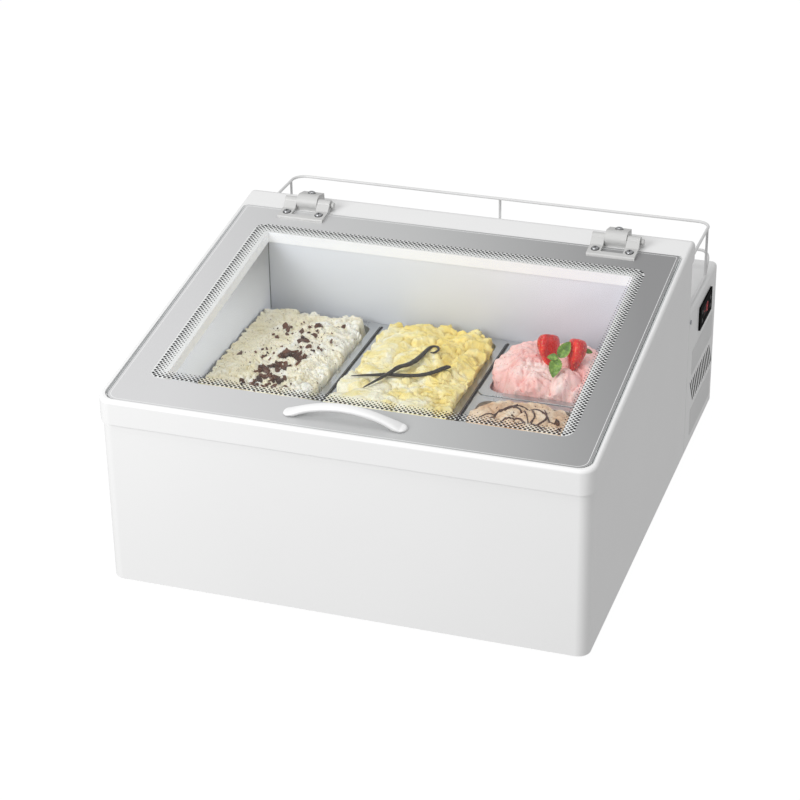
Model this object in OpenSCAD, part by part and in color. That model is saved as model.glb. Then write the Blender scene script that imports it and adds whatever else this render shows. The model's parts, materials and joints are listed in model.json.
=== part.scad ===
// Countertop ice cream dipping cabinet: insulated well with four pans under a
// sloped hinged glass lid, refrigeration compartment behind it, wire gallery on top.
// Every module is written in cabinet coordinates: X = 0 on the centre line,
// Y = 0 on the front face of the shell, Z = 0 on the lower edge of the shell.
// place() then moves it so the origin is under the middle of the whole cabinet.

/* [Cabinet] */
// Width of the painted shell
body_w = 620; // [616:1:624]
// Depth from the shell's front face to its rear bulkhead
body_d = 528; // [526:0.5:530]
// Overall depth including the machine compartment
total_d = 704; // [702:1:716]
// Height of the rubber feet
foot_h = 5; // [3:1:8]
// Thickness of the sheet steel
sheet = 1.2; // [1:0.1:1.4]
// Radius of the shell's vertical front corners
corner_r = 16; // [12:1:22]

/* [Lid] */
// Tilt of the glass lid from horizontal
lid_tilt = 8.137; // [8:0.001:8.3]
// Height of the glass's upper face at its front edge
lid_front_z = 252.8; // [252:0.1:254]
// Thickness of the tempered glass
glass_t = 4; // [4:0.5:5]
// Half width of the glass pane
glass_hw = 303.9; // [300:0.1:304.4]
// Length of the pane along the slope
glass_l = 476.8; // [475:0.1:477]

/* [Hinges] */
// Distance of each hinge from the centre line
hinge_x = 216; // [200:1:225]
// Hinge axis, measured along the slope from the front of the glass
hinge_s = 489; // [488.5:0.1:489.5]
// Hinge axis height above the glass
hinge_n = 6.5; // [6.5:0.1:6.8]
// Diameter of the hinge pins
pin_d = 5; // [4:0.5:6]
// Radial running clearance between a pin and the leaf's ears
pin_gap = 0.05; // [0.03:0.01:0.1]

/* [Well and pans] */
// Half width of the well
well_hw = 254.5; // [254.5:0.1:256]
// Level of the well's floor
well_floor = 80; // [60:1:86]
// Level of the pan rims
rim_z = 190.7; // [190:0.1:192]
// Depth of the pans
pan_depth = 100; // [80:1:104]
// Width of the middle pan
mid_pan_w = 175; // [172:0.5:176]

/* [Machine compartment] */
// Level of the compartment's upper face
shelf_z = 215.8; // [214:0.1:218]
// Number of slanted vent slots on each side
vent_count = 14; // [6:1:14]
// Width of one vent slot
vent_w = 3.8; // [2.5:0.1:4.5]

/* [Gallery] */
// Diameter of the gallery wire
wire_d = 4; // [3:0.5:4.5]
// Level of the gallery's upper rail
rail_z = 289; // [270:1:291]

/* [Hidden] */

$fn = 64;
e = 0.01;
hw = body_w / 2;                 // half width of the shell
yc = (total_d - 3) / 2;          // middle of the overall depth
g0 = 3.5;                        // front edge of the glass
ta = tan(lid_tilt);
over = 3;                        // overhang of the collar
well_y0 = 70;
well_y1 = 428;
lip = 1.3;                       // inner lip of the collar over the well's edge
pan_y0 = 101;
pan_y1 = 426;
frame_y0 = 107.6;                // inner edge of the support frame at the front
lane_gap = 2.8;
side_x0 = mid_pan_w / 2 + lane_gap;
side_x1 = well_hw - lip - 0.2;
pan_floor = rim_z - pan_depth;
gallery_x = 305;                 // half width of the gallery
gland_x = 272;                   // distance of the cord gland from the centre line
steel_white = [0.95, 0.95, 0.94];
trim_white = [0.97, 0.97, 0.97];
grey_plastic = [0.80, 0.80, 0.80];
stainless = [0.75, 0.76, 0.77];
zinc = [0.7, 0.7, 0.72];
black = [0.06, 0.06, 0.06];
copper = [0.78, 0.48, 0.33];

// level of the glass plane and of the collar's upper face over a given Y
function gz(y) = lid_front_z + (y - g0) * ta;
function cz(y) = gz(y) + 1.8 - 3 * y / 478;

module place() translate([0, -yc, foot_h]) children();
// the lid's own frame: X, distance up the slope, height over the glass
module slope() translate([0, g0, lid_front_z]) rotate([lid_tilt, 0, 0]) children();
// a profile drawn in (Y, Z), running along X
module along_x(x0, x1) translate([x0, 0, 0]) rotate([90, 0, 90]) linear_extrude(x1 - x0) children();
// a profile drawn in (X, Z), running along Y
module along_y(y0, y1) translate([0, y1, 0]) rotate([90, 0, 0]) linear_extrude(y1 - y0) children();
module box(a, b) translate(a) cube([b[0] - a[0], b[1] - a[1], b[2] - a[2]]);

// rectangle with four round corners
module rrect(x0, y0, x1, y1, r) {
  translate([x0 + r, y0]) square([x1 - x0 - 2 * r, y1 - y0]);
  translate([x0, y0 + r]) square([x1 - x0, y1 - y0 - 2 * r]);
  for (x = [x0 + r, x1 - r], y = [y0 + r, y1 - r]) translate([x, y]) circle(r);
}
// rectangle with round corners at the front and small ones at the rear
module dshape(x0, y0, x1, y1, rf, rr) {
  translate([x0 + rf, y0]) square([x1 - x0 - 2 * rf, rf + 1]);
  translate([x0, y0 + rf]) square([x1 - x0, y1 - y0 - rf - rr]);
  translate([x0 + rr, y1 - rr - 1]) square([x1 - x0 - 2 * rr, rr + 1]);
  for (x = [x0 + rf, x1 - rf]) translate([x, y0 + rf]) circle(rf);
  for (x = [x0 + rr, x1 - rr]) translate([x, y1 - rr]) circle(rr);
}
module rod_x(x0, x1, y, z, r) translate([x0, y, z]) rotate([0, 90, 0]) cylinder(h = x1 - x0, r = r);
module rod_y(x, y0, y1, z, r) translate([x, y1, z]) rotate([90, 0, 0]) cylinder(h = y1 - y0, r = r);
module rod_z(x, y, z0, z1, r) translate([x, y, z0]) cylinder(h = z1 - z0, r = r);

/* ---------- cabinet ---------- */
module outer_shell() place() color(steel_white)
  difference() {
    intersection() {
      linear_extrude(340) dshape(-hw, 0, hw, body_d, corner_r, 1);
      along_x(-hw - 5, hw + 5) polygon([[-5, 0], [body_d + 5, 0], [body_d + 5, gz(body_d + 5) - 14], [-5, gz(-5) - 14]]);
    }
    translate([0, 0, -1]) linear_extrude(350) {
      dshape(-hw + sheet, sheet, hw - sheet, body_d - 10, corner_r - sheet, 1);
      translate([-hw + sheet, body_d - 20]) square([body_w - 2 * sheet, 30]);
    }
  }

module base_plate() place() color(zinc)
  difference() {
    union() {
      linear_extrude(1.5) dshape(-hw + sheet + 0.2, sheet + 0.2, hw - sheet - 0.2, 686.6, corner_r - sheet, 1);
      // turned-up edge that the rear panel is screwed to
      box([-hw + 6, 685.1, 0], [hw - 6, 686.6, 14]);
    }
    for (x = [-270, 270], y = [45, 655]) rod_z(x, y, -1, 3, 3);
    for (x = [-202, -98], y = [560, 656]) rod_z(x, y, -1, 3, 3.1);
    for (x = [-200, 0, 200]) rod_y(x, 684, 688, 8, 1.8);
  }

module rubber_feet() place() color(black)
  for (x = [-270, 270], y = [45, 655]) {
    rod_z(x, y, -foot_h, 0, 15);
    rod_z(x, y, -e, 4.5, 3);
  }

module insulation_foam() place() color([0.93, 0.88, 0.68])
  difference() {
    intersection() {
      translate([0, 0, 1.5]) linear_extrude(330) dshape(-hw + sheet + 0.3, sheet + 0.3, hw - sheet - 0.3, body_d - sheet - 0.1, corner_r - sheet, 1);
      along_x(-hw, hw) polygon([[0, 0], [body_d, 0], [body_d, gz(body_d) - 14], [0, gz(0) - 14]]);
    }
    box([-well_hw - sheet - 0.05, well_y0 - sheet - 0.05, well_floor - sheet - 0.05], [well_hw + sheet + 0.05, well_y1 + sheet + 0.05, 400]);
    for (z = [95 : 20 : 175]) translate([0, 0, z - 4.5]) linear_extrude(9)
      rrect(-well_hw - 10.6, well_y0 - 10.6, well_hw + 10.6, well_y1 + 10.6, 12);
    box([-26, well_y1, 90], [-10, well_y1 + 10.6, 180]);
    for (p = [[-60, 95], [60, 175]]) rod_y(p[0], well_y1, body_d, p[1], 4.2);
    for (x = [-270, 270]) rod_z(x, 45, 0, 6, 5);
    for (s = [-1, 1]) translate([s * hinge_x, 495, 290]) cylinder(h = 40, r = 9);
    for (x = [-gallery_x, gallery_x]) rod_y(x, body_d - 6, body_d, rail_z, wire_d / 2 + 1);
  }

module inner_liner() place() color(trim_white)
  difference() {
    intersection() {
      box([-well_hw - sheet, well_y0 - sheet, well_floor - sheet], [well_hw + sheet, well_y1 + sheet, 330]);
      along_x(-hw, hw) polygon([[0, 0], [body_d, 0], [body_d, gz(body_d) - 11.6], [0, gz(0) - 11.6]]);
    }
    box([-well_hw, well_y0, well_floor], [well_hw, well_y1, 400]);
  }

// one closed turn of tube round the well
module coil_ring(z) {
  a = well_hw + sheet + 4.3; y0 = well_y0 - sheet - 4.3; y1 = well_y1 + sheet + 4.3; r = 4.8;
  for (y = [y0, y1]) rod_x(-a + r, a - r, y, z, 4);
  for (x = [-a, a]) rod_y(x, y0 + r, y1 - r, z, 4);
  for (q = [[a - r, y1 - r, 0], [-a + r, y1 - r, 90], [-a + r, y0 + r, 180], [a - r, y0 + r, 270]])
    translate([q[0], q[1], z]) rotate([0, 0, q[2]]) rotate_extrude(angle = 90) translate([r, 0]) circle(4);
}
module evaporator_coil() place() color(copper) {
  for (z = [95 : 20 : 175]) coil_ring(z);
  for (i = [0 : 3]) rod_z(-18, well_y1 + sheet + 4.3, 95 + 20 * i, 115 + 20 * i, 3.2);
  rod_y(-60, well_y1 + sheet + 4.3, body_d + 0.5, 95, 3.5);
  rod_y(60, well_y1 + sheet + 4.3, body_d + 0.5, 175, 3.5);
}

module rear_bulkhead() place() color(steel_white)
  difference() {
    union() {
      box([-hw + sheet + 0.1, body_d - sheet, 1.6], [hw - sheet - 0.1, body_d, gz(476) - 6.4]);
      // flanges that the machine cover is screwed to
      for (s = [-1, 1]) box([s > 0 ? hw - 2.6 : -hw + 1.4, body_d - 0.5, 20], [s > 0 ? hw - 1.4 : -hw + 2.6, body_d + 12, shelf_z - 8]);
    }
    for (s = [-1, 1]) rod_x(s * hw - 5, s * hw + 5, body_d + 5, shelf_z - 16, 1.8);
    for (p = [[-60, 95], [60, 175]]) rod_y(p[0], body_d - 5, body_d + 5, p[1], 3.5);
    for (x = [-gallery_x, gallery_x]) rod_y(x, body_d - 5, body_d + 5, rail_z, wire_d / 2);
  }

// moulded frame round the top: skirt, raised rim, recessed ledge for the lid, rear strip
module collar_frame() place() color(trim_white)
  difference() {
    intersection() {
      linear_extrude(340) dshape(-hw - over, -over, hw + over, body_d + 2, corner_r + over, 6);
      along_x(-hw - 10, hw + 10) {
        polygon([[-10, gz(-10) - 30.6], [body_d + 2, gz(body_d + 2) - 30.6], [body_d + 2, cz(515) - 15], [515, cz(515) - 15], [515, cz(515)], [-10, cz(-10)]]);
        translate([515, cz(515) - 15]) circle(15);
      }
    }
    // recess that the lid lies in, with a shallow step along its edge
    slope() translate([0, 0, -8]) linear_extrude(40) dshape(-304.8, -0.8, 304.8, 478.3, 17, 5);
    slope() translate([0, 0, -2.4]) linear_extrude(40) dshape(-307.2, -0.8, 307.2, 478.3, 18, 6);
    // opening over the well
    box([-well_hw + lip, well_y0 + lip, 100], [well_hw - lip, well_y1 - lip, 400]);
    // hollow underside, with the inner lip left standing
    difference() {
      intersection() {
        translate([0, 0, 100]) linear_extrude(300) dshape(-hw - 0.2, -0.2, hw + 0.2, body_d + 0.1, corner_r, 1);
        along_x(-hw - 5, hw + 5) polygon([[-5, 90], [body_d + 5, 90], [body_d + 5, gz(476) - 6], [484, gz(484) - 6], [482, gz(482) - 11.2], [-5, gz(-5) - 11.2]]);
      }
      along_x(-well_hw, well_hw) polygon([[well_y0, gz(well_y0) - 22.6], [well_y1, gz(well_y1) - 22.6], [well_y1, 400], [well_y0, 400]]);
    }
    for (s = [-1, 1]) knuckle_screw_axis(s) translate([0, 0, -30]) cylinder(h = 40, r = 2.2);
  }

/* ---------- lid ---------- */
module lid_glass() place() color([0.8, 0.86, 0.86, 0.4]) slope()
  difference() {
    translate([0, 0, -glass_t]) linear_extrude(glass_t) dshape(-glass_hw, 0.6, glass_hw, glass_l, 16, 4);
    for (s = [-1, 1], d = [-23, 23]) rod_z(s * hinge_x + d, 464, -glass_t - 1, 1, 2.7);
    for (x = [-70, 70]) rod_z(x, 25, -glass_t - 1, 1, 2.2);
  }

module lid_gasket() place() color([0.25, 0.25, 0.25]) slope()
  translate([0, 0, -7.8]) linear_extrude(7.8 - glass_t) difference() {
    rrect(-299.5, 4, 299.5, 459, 12);
    rrect(-289.5, 14, 289.5, 449, 4);
  }

// bow handle: an arch between two flat feet
module lid_handle() place() color(trim_white) slope() difference() {
  union() {
    intersection() {
      translate([0, 32, 0]) rotate([90, 0, 0]) linear_extrude(14) difference() {
        translate([0, 22 - 150.6]) circle(150.6, $fn = 128);
        translate([0, 15 - 135.6]) circle(135.6, $fn = 128);
      }
      box([-90, 0, 0], [90, 60, 40]);
    }
    for (s = [-1, 1]) translate([s * 68, 25, 0]) linear_extrude(5.2) rrect(-10, -8.5, 10, 8.5, 8);
  }
  for (x = [-70, 70]) rod_z(x, 25, -1, 4, 2);
}

module handle_screws() place() color(zinc) slope()
  for (x = [-70, 70]) {
    rod_z(x, 25, -glass_t - 2.5, -glass_t, 3.6);
    rod_z(x, 25, -glass_t - e, 4, 2);
  }

/* ---------- hinges ---------- */
module leaf_side() difference() {
  union() {
    polygon([[451, 0], [451, 2.9], [452.3, 4.2], [474.5, 4.2], [481.4, 10.4], [489, 10], [489, 0]]);
    hull() {
      translate([hinge_s, hinge_n]) circle(6.5);
      translate([hinge_s - 1.4, hinge_n + 1.5]) circle(6.3);
    }
  }
  translate([hinge_s, hinge_n]) circle(pin_d / 2 + pin_gap);
}
module hinge_leaf(s) place() color(grey_plastic) slope() translate([s * hinge_x, 0, 0])
  difference() {
    union() {
      along_x(-32.4, 32.4) polygon([[451, 0], [451, 2.9], [452.3, 4.2], [459.5, 4.2], [459.5, 0]]);
      along_x(-32.4, -15) leaf_side();
      along_x(15, 32.4) leaf_side();
    }
    for (d = [-23, 23]) rod_z(d, 464, -1, 6, 2.5);
  }
module hinge_leaf_left() hinge_leaf(-1);
module hinge_leaf_right() hinge_leaf(1);

// pan head with a cross recess, seated on Z = 0
module pan_head() difference() {
  union() {
    cylinder(h = 1.3, r = 4.7);
    translate([0, 0, 1.3 - e]) cylinder(h = 0.9, r1 = 4.7, r2 = 4.1);
    translate([0, 0, 2.2 - 2 * e]) cylinder(h = 0.5, r1 = 4.1, r2 = 2.9);
  }
  for (a = [0, 90]) rotate([0, 0, a + 20]) translate([-2.5, -0.6, 1.1]) cube([5, 1.2, 5]);
}
module hinge_leaf_screws() place() color(stainless) slope()
  for (s = [-1, 1], d = [-23, 23]) translate([s * hinge_x + d, 464, 0]) {
    rod_z(0, 0, -7, 4.3, 2.5);
    translate([0, 0, 4.2]) pan_head();
  }
module hinge_leaf_nuts() place() color(zinc) slope()
  for (s = [-1, 1], d = [-23, 23]) translate([s * hinge_x + d, 464, -glass_t - 3]) difference() {
    cylinder(h = 3, r = 4.6, $fn = 6);
    translate([0, 0, -1]) cylinder(h = 6, r = 2.5, $fn = 48);
  }

// middle block of a hinge, screwed down on the collar's rear strip
module hinge_knuckle(s) place() color(grey_plastic)
  difference() {
    slope() translate([s * hinge_x, 0, 0]) along_x(-14.6, 14.6) difference() {
      union() {
        polygon([[480.5, -3], [511, -3], [511, 11.05], [494.26, 17.14], [490.5, 6.8], [480.5, 6.8]]);
        translate([490.5, 6.8]) circle(11);
      }
      translate([hinge_s, hinge_n]) circle(pin_d / 2);
    }
    // seat on the collar's sloping face
    along_x(-hw, hw) polygon([[470, 300], [520, 300], [520, cz(520)], [470, cz(470)]]);
    knuckle_screw_axis(s) translate([0, 0, -30]) cylinder(h = 40, r = 2.2);
  }
module hinge_knuckle_left() hinge_knuckle(-1);
module hinge_knuckle_right() hinge_knuckle(1);
// frame of the screw through a knuckle: origin on its rear face, Z pointing out of it
module knuckle_screw_axis(s) slope() translate([s * hinge_x, 502.34, 14.2]) rotate([-20, 0, 0]) children();

module hinge_knuckle_screws() place() color(stainless)
  for (s = [-1, 1]) knuckle_screw_axis(s) {
    translate([0, 0, -22]) cylinder(h = 22.2, r = 2.2);
    pan_head();
  }

module hinge_pins() place() color(stainless) slope()
  for (s = [-1, 1]) {
    rod_x(s * hinge_x - 32.4, s * hinge_x + 33, hinge_s, hinge_n, pin_d / 2);
    rod_x(s * hinge_x + 32.7, s * hinge_x + 36.8, hinge_s, hinge_n, 4.4);
  }

/* ---------- pans and contents ---------- */
module pan(x0, y0, x1, y1) color(stainless) difference() {
  union() {
    translate([0, 0, rim_z - 1.2]) linear_extrude(1.2) rrect(x0, y0, x1, y1, 12);
    translate([0, 0, pan_floor]) linear_extrude(pan_depth) rrect(x0 + 10, y0 + 10, x1 - 10, y1 - 10, 18);
  }
  translate([0, 0, pan_floor + 1]) linear_extrude(pan_depth) rrect(x0 + 11, y0 + 11, x1 - 11, y1 - 11, 17);
}
module pan_left() place() pan(-side_x1, pan_y0, -side_x0, pan_y1);
module pan_middle() place() pan(-mid_pan_w / 2, pan_y0, mid_pan_w / 2, pan_y1);
module pan_right_rear() place() pan(side_x0, 265.5, side_x1, pan_y1);
module pan_right_front() place() pan(side_x0, pan_y0, side_x1, 262.5);

// filling: a block to just over the rim with a barrel-shaped heap on it
module filling(x0, y0, x1, y1, top, tone) color(tone) intersection() {
  translate([0, 0, pan_floor + 1.1]) linear_extrude(top - pan_floor) rrect(x0 + 11.3, y0 + 11.3, x1 - 11.3, y1 - 11.3, 16.7);
  union() {
    w = (x1 - x0) / 2 - 11.3;
    h = top - rim_z - 3;
    r = (w * w + h * h) / (2 * h);
    box([x0, y0, 0], [x1, y1, rim_z + 3]);
    translate([(x0 + x1) / 2, y1, top - r]) rotate([90, 0, 0]) cylinder(h = y1 - y0, r = r, $fn = 128);
  }
}
module ice_cream_left() place() filling(-side_x1, pan_y0, -side_x0, pan_y1, 222, [0.93, 0.91, 0.82]);
module ice_cream_middle() place() filling(-mid_pan_w / 2, pan_y0, mid_pan_w / 2, pan_y1, 222, [0.96, 0.90, 0.58]);
module ice_cream_right_rear() place() filling(side_x0, 265.5, side_x1, pan_y1, 224, [0.95, 0.62, 0.66]);
module ice_cream_right_front() place() filling(side_x0, pan_y0, side_x1, 262.5, 216, [0.85, 0.74, 0.66]);

module pan_support_frame() place() color(stainless) {
  z1 = rim_z - 1.3; z0 = z1 - 1.5; b = mid_pan_w / 2 + lane_gap / 2;
  translate([0, 0, z0]) linear_extrude(1.5) difference() {
    translate([-well_hw + 0.6, well_y0 + 0.6]) square([2 * well_hw - 1.2, well_y1 - well_y0 - 1.2]);
    translate([-well_hw + 9.6, frame_y0]) square([2 * well_hw - 19.2, well_y1 - frame_y0 - 9.6]);
  }
  for (s = [-1, 1]) box([s * b - 5, frame_y0 - 1, z1 - 9], [s * b + 5, well_y1 - 9, z1]);
  box([b + 4, 259, z1 - 9], [well_hw - 9, 269, z1]);
}

module frame_rests() place() color(stainless) {
  z1 = rim_z - 2.8;
  for (s = [-1, 1], y = [160, 264, 368])
    box([s > 0 ? well_hw - 7.5 : -well_hw, y - 8, z1 - 10], [s > 0 ? well_hw : -well_hw + 7.5, y + 8, z1]);
  for (x = [-170, 0, 170]) {
    box([x - 8, well_y0, z1 - 10], [x + 8, well_y0 + 7.5, z1]);
    box([x - 8, well_y1 - 7.5, z1 - 10], [x + 8, well_y1, z1]);
  }
}

module temperature_probe() place() color(black) {
  rod_x(205, 245, well_y1 - 4.5, 150, 2.5);
  box([214, well_y1 - 8, 146], [220, well_y1, 154]);
}

/* ---------- machine compartment ---------- */
module slot_yz(len) { square([len, vent_w], center = true); for (s = [-1, 1]) translate([s * len / 2, 0]) circle(vent_w / 2, $fn = 24); }

module machine_cover() place() color(steel_white)
  difference() {
    union() {
      intersection() {
        along_y(body_d + 0.4, total_d) difference() {
          rrect(-hw, -40, hw, shelf_z, 7);
          rrect(-hw + sheet, -50, hw - sheet, shelf_z - sheet, 5.8);
        }
        box([-hw - 1, body_d, 0], [hw + 1, total_d + 1, shelf_z + 1]);
      }
      // tabs behind the rear panel
      for (s = [-1, 1], z = [40, 190]) box([s > 0 ? hw - 14 : -hw + 0.5, 676, z - 8], [s > 0 ? hw - 0.5 : -hw + 14, 686.5, z + 8]);
    }
    for (s = [-1, 1], i = [0 : vent_count - 1]) translate([s * hw - 6, 563 + 9.5 * i, 81]) rotate([90, 0, 90])
      linear_extrude(12) rotate(-58) slot_yz(39.5);
    // opening for the controller
    box([hw - 5, 593.4, 162.9], [hw + 5, 664.6, 192.1]);
    for (s = [-1, 1], z = [40, 190]) rod_y(s * (hw - 8), 670, 690, z, 1.8);
    for (s = [-1, 1]) rod_x(s * hw - 5, s * hw + 5, body_d + 5, shelf_z - 16, 1.8);
  }

module cover_screws() place() color(zinc)
  for (s = [-1, 1]) {
    rod_x(s > 0 ? hw - 4.5 : -hw - 1.4, s > 0 ? hw + 1.4 : -hw + 4.5, body_d + 5, shelf_z - 16, 1.8);
    rod_x(s > 0 ? hw : -hw - 1.5, s > 0 ? hw + 1.5 : -hw, body_d + 5, shelf_z - 16, 3.2);
  }

module rear_panel() place() color(steel_white)
  difference() {
    box([-hw + sheet + 0.3, 686.8, 1.7], [hw - sheet - 0.3, 688, shelf_z - sheet - 0.3]);
    for (x = [-240 : 40 : 160], z = [110 : 14 : 180]) translate([x + 14, 690, z]) rotate([90, 0, 0]) linear_extrude(6) {
      square([24, 4], center = true);
      for (s = [-1, 1]) translate([s * 12, 0]) circle(2, $fn = 24);
    }
    rod_y(gland_x, 680, 690, 50, 8);
    box([-247.2, 680, 45.8], [-232.8, 690, 74.2]);
    for (s = [-1, 1], z = [40, 190]) rod_y(s * (hw - 8), 680, 690, z, 1.8);
    for (x = [-200, 0, 200]) rod_y(x, 680, 690, 8, 1.8);
  }

module rear_panel_screws() place() color(zinc) {
  for (s = [-1, 1], z = [40, 190]) { rod_y(s * (hw - 8), 677, 690, z, 1.8); rod_y(s * (hw - 8), 688, 690.2, z, 3.5); }
  for (x = [-200, 0, 200]) { rod_y(x, 680, 690, 8, 1.8); rod_y(x, 688, 690.2, 8, 3.5); }
}

/* ---------- wire gallery ---------- */
module wire_gallery() place() color(trim_white) {
  w = wire_d / 2; xr = gallery_x; yr = 668; rr = 18; lz = 247; rl = 12; rb = 8;
  z2 = shelf_z + w + 0.2; b = 51; t = rb * tan(b / 2);
  y1 = yr - rl * cos(b); z1 = lz - rl * sin(b); y2 = y1 - (z1 - z2) / tan(b);
  // upper rail
  rod_x(-xr + rr, xr - rr, yr, rail_z, w);
  for (s = [-1, 1]) {
    translate([s * (xr - rr), yr - rr, rail_z]) rotate([0, 0, s > 0 ? 0 : 90]) rotate_extrude(angle = 90) translate([rr, 0]) circle(w);
    rod_y(s * xr, body_d - 4, yr - rr, rail_z, w);
    // corner posts
    rod_z(s * xr, yr - 22, shelf_z + 0.2, rail_z, w - 0.2);
  }
  rod_z(3, yr, lz, rail_z, w - 0.2);
  // lower rail: back run, sloping legs, runs lying along the shelf
  rod_x(-xr + rl, xr - rl, yr, lz, w);
  for (s = [-1, 1]) {
    translate([s * (xr - rl), yr, lz]) rotate([b, 0, 0]) translate([0, -rl, 0]) rotate([0, 0, s > 0 ? 0 : 90])
      rotate_extrude(angle = 90) translate([rl, 0]) circle(w);
    translate([s * xr, y2 + t * cos(b), z2 + t * sin(b)]) rotate([-90 + b, 0, 0]) cylinder(h = (z1 - z2) / sin(b) - t, r = w);
    translate([s * xr, y2 - t, z2 + rb]) rotate([0, 90, 0]) rotate_extrude(angle = b) translate([rb, 0]) circle(w);
    rod_y(s * xr, body_d + 3, y2 - t, z2, w);
  }
}

module gallery_sockets() place() color(trim_white)
  for (s = [-1, 1]) difference() {
    rod_y(s * gallery_x, body_d, body_d + 5, rail_z, 4.5);
    rod_y(s * gallery_x, body_d - 1, body_d + 6, rail_z, wire_d / 2);
  }

/* ---------- controller ---------- */
ky = [603, 655];
kz = [171.2, 183.8];
module thermostat_case() place() color(black) difference() {
  box([252, 593.5, 163], [hw, 664.5, 192]);
  box([303, 596, 165], [hw + 1, 662, 190]);
}
module thermostat_bezel() place() color(black) difference() {
  along_x(hw, hw + 2.5) rrect(590, 160, 668, 195, 2.5);
  box([hw - 1, 612, 168.5], [hw + 4, 646, 186.5]);
  for (y = ky, z = kz) rod_x(hw - 1, hw + 4, y, z, 3.7);
}
module display_lens() place() color([0.25, 0.02, 0.03]) box([hw - 1, 612.05, 168.55], [hw + 2, 645.95, 186.45]);
module key(y, z) place() color([0.16, 0.16, 0.17]) {
  rod_x(hw - 0.4, hw + 3, y, z, 3.4);
  rod_x(hw - 1.8, hw - 0.35, y, z, 4.6);
}
module key_up() key(ky[0], kz[1]);
module key_down() key(ky[0], kz[0]);
module key_set() key(ky[1], kz[1]);
module key_power() key(ky[1], kz[0]);

/* ---------- mains entry ---------- */
module switch_housing() place() color(black) difference() {
  union() {
    box([-247, 668, 46], [-233, 688, 74]);
    box([-249.5, 688, 43], [-230.5, 690.5, 77]);
  }
  box([-245.6, 670, 47.2], [-234.4, 692, 72.8]);
  // seats of the rocker's stub axle
  rod_x(-246.6, -233.4, 684, 60, 1.55);
}
module switch_rocker() place() color([0.12, 0.12, 0.12]) {
  translate([0, 684, 60]) rotate([8, 0, 0]) {
    along_x(-245.2, -234.8) polygon([[-6, -4], [-6, 4], [2, 11.4], [5, 11.6], [3.4, 0], [5, -11.6], [2, -11.4]]);
  }
  rod_x(-246.4, -233.6, 684, 60, 1.5);
}
module cable_gland() place() color(black) difference() {
  union() {
    rod_y(gland_x, 677, 688.1, 50, 7.9);
    translate([gland_x, 692, 50]) rotate([90, 0, 0]) cylinder(h = 4, r = 12, $fn = 6);
    rod_y(gland_x, 692 - e, 702, 50, 9.5);
  }
  rod_y(gland_x, 670, 710, 50, 3.75);
}
module gland_nut() place() color(black) difference() {
  translate([gland_x, 686.8, 50]) rotate([90, 0, 0]) cylinder(h = 5, r = 12, $fn = 6);
  rod_y(gland_x, 680, 690, 50, 7.9);
}

/* ---------- refrigeration set ---------- */
module compressor() place() color(black) {
  translate([-150, 608, 0]) rotate_extrude() {
    translate([0, 8]) square([33, 142]);
    translate([0, 14]) square([57, 111]);
    translate([32, 125]) circle(25);
  }
  difference() {
    box([-212, 550, 11], [-88, 666, 14.5]);
    for (x = [-202, -98], y = [560, 656]) rod_z(x, y, 5, 20, 4);
  }
}
module compressor_grommets() place() color([0.2, 0.2, 0.2])
  for (x = [-202, -98], y = [560, 656]) difference() {
    union() { rod_z(x, y, 1.5, 11, 8); rod_z(x, y, 10.9, 14.6, 4); rod_z(x, y, 14.5, 17, 8); }
    rod_z(x, y, 0, 20, 3);
  }
module compressor_bolts() place() color(zinc)
  for (x = [-202, -98], y = [560, 656]) {
    rod_z(x, y, 0, 17.1, 3);
    translate([x, y, 17]) cylinder(h = 4, r = 6, $fn = 6);
  }
module relay_cover() place() color([0.15, 0.15, 0.16]) difference() {
  box([-93.5, 588, 60], [-70, 628, 105]);
  translate([-150, 608, 50]) cylinder(h = 80, r = 57.1);
}
module condenser() place() color([0.2, 0.2, 0.2]) {
  for (i = [0 : 12]) box([215, 548 + 9.6 * i, 20], [243, 549 + 9.6 * i, 150]);
  for (x = [222, 236], z = [28 : 19 : 142]) rod_y(x, 542, 672, z, 3.5);
  box([214, 544, 1.5], [244, 546, 150]);
  box([214, 668, 1.5], [244, 670, 150]);
}
module condenser_bends() place() color(copper) {
  for (x = [222, 236], z = [28 : 38 : 123]) translate([x, 672, z + 9.5]) rotate([0, 90, 0]) rotate_extrude(angle = 180) translate([9.5, 0]) circle(3.5);
  for (x = [222, 236], z = [47 : 38 : 142]) translate([x, 542, z + 9.5]) rotate([0, 90, 0]) rotate([0, 0, 180]) rotate_extrude(angle = 180) translate([9.5, 0]) circle(3.5);
}
fan_y = 609;
fan_z = 82;
module fan_shroud() place() color([0.18, 0.18, 0.18]) difference() {
  union() {
    box([190, fan_y - 64, 1.5], [213, fan_y + 64, 148]);
  }
  rod_x(188, 215, fan_y, fan_z, 58);
}
module fan_motor() place() color([0.3, 0.3, 0.32]) difference() {
  union() {
    rod_x(140, 180, fan_y, fan_z, 22);
    rod_x(180 - e, 184, fan_y, fan_z, 8);
    // bracket legs down to the base plate
    for (s = [-1, 1]) box([150, fan_y + s * 17 - 3, 1.5], [170, fan_y + s * 17 + 3, fan_z - 10]);
    box([150, fan_y - 20, 1.5], [170, fan_y + 20, 4.5]);
  }
  rod_x(145, 190, fan_y, fan_z, 2.55);
}
module fan_rotor() place() color([0.5, 0.5, 0.52]) {
  rod_x(150, 206, fan_y, fan_z, 2.5);
  rod_x(186, 206, fan_y, fan_z, 17);
  translate([196, fan_y, fan_z]) rotate([0, 90, 0])
    for (i = [0 : 4]) rotate([0, 0, 72 * i]) translate([14, 0, 0]) rotate([28, 0, 0]) translate([0, -14, -0.8]) cube([38, 28, 1.6]);
}
module filter_drier() place() color(copper) {
  rod_z(60, 660, 70, 140, 10);
  rod_z(60, 660, 60, 150, 4);
}
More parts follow.
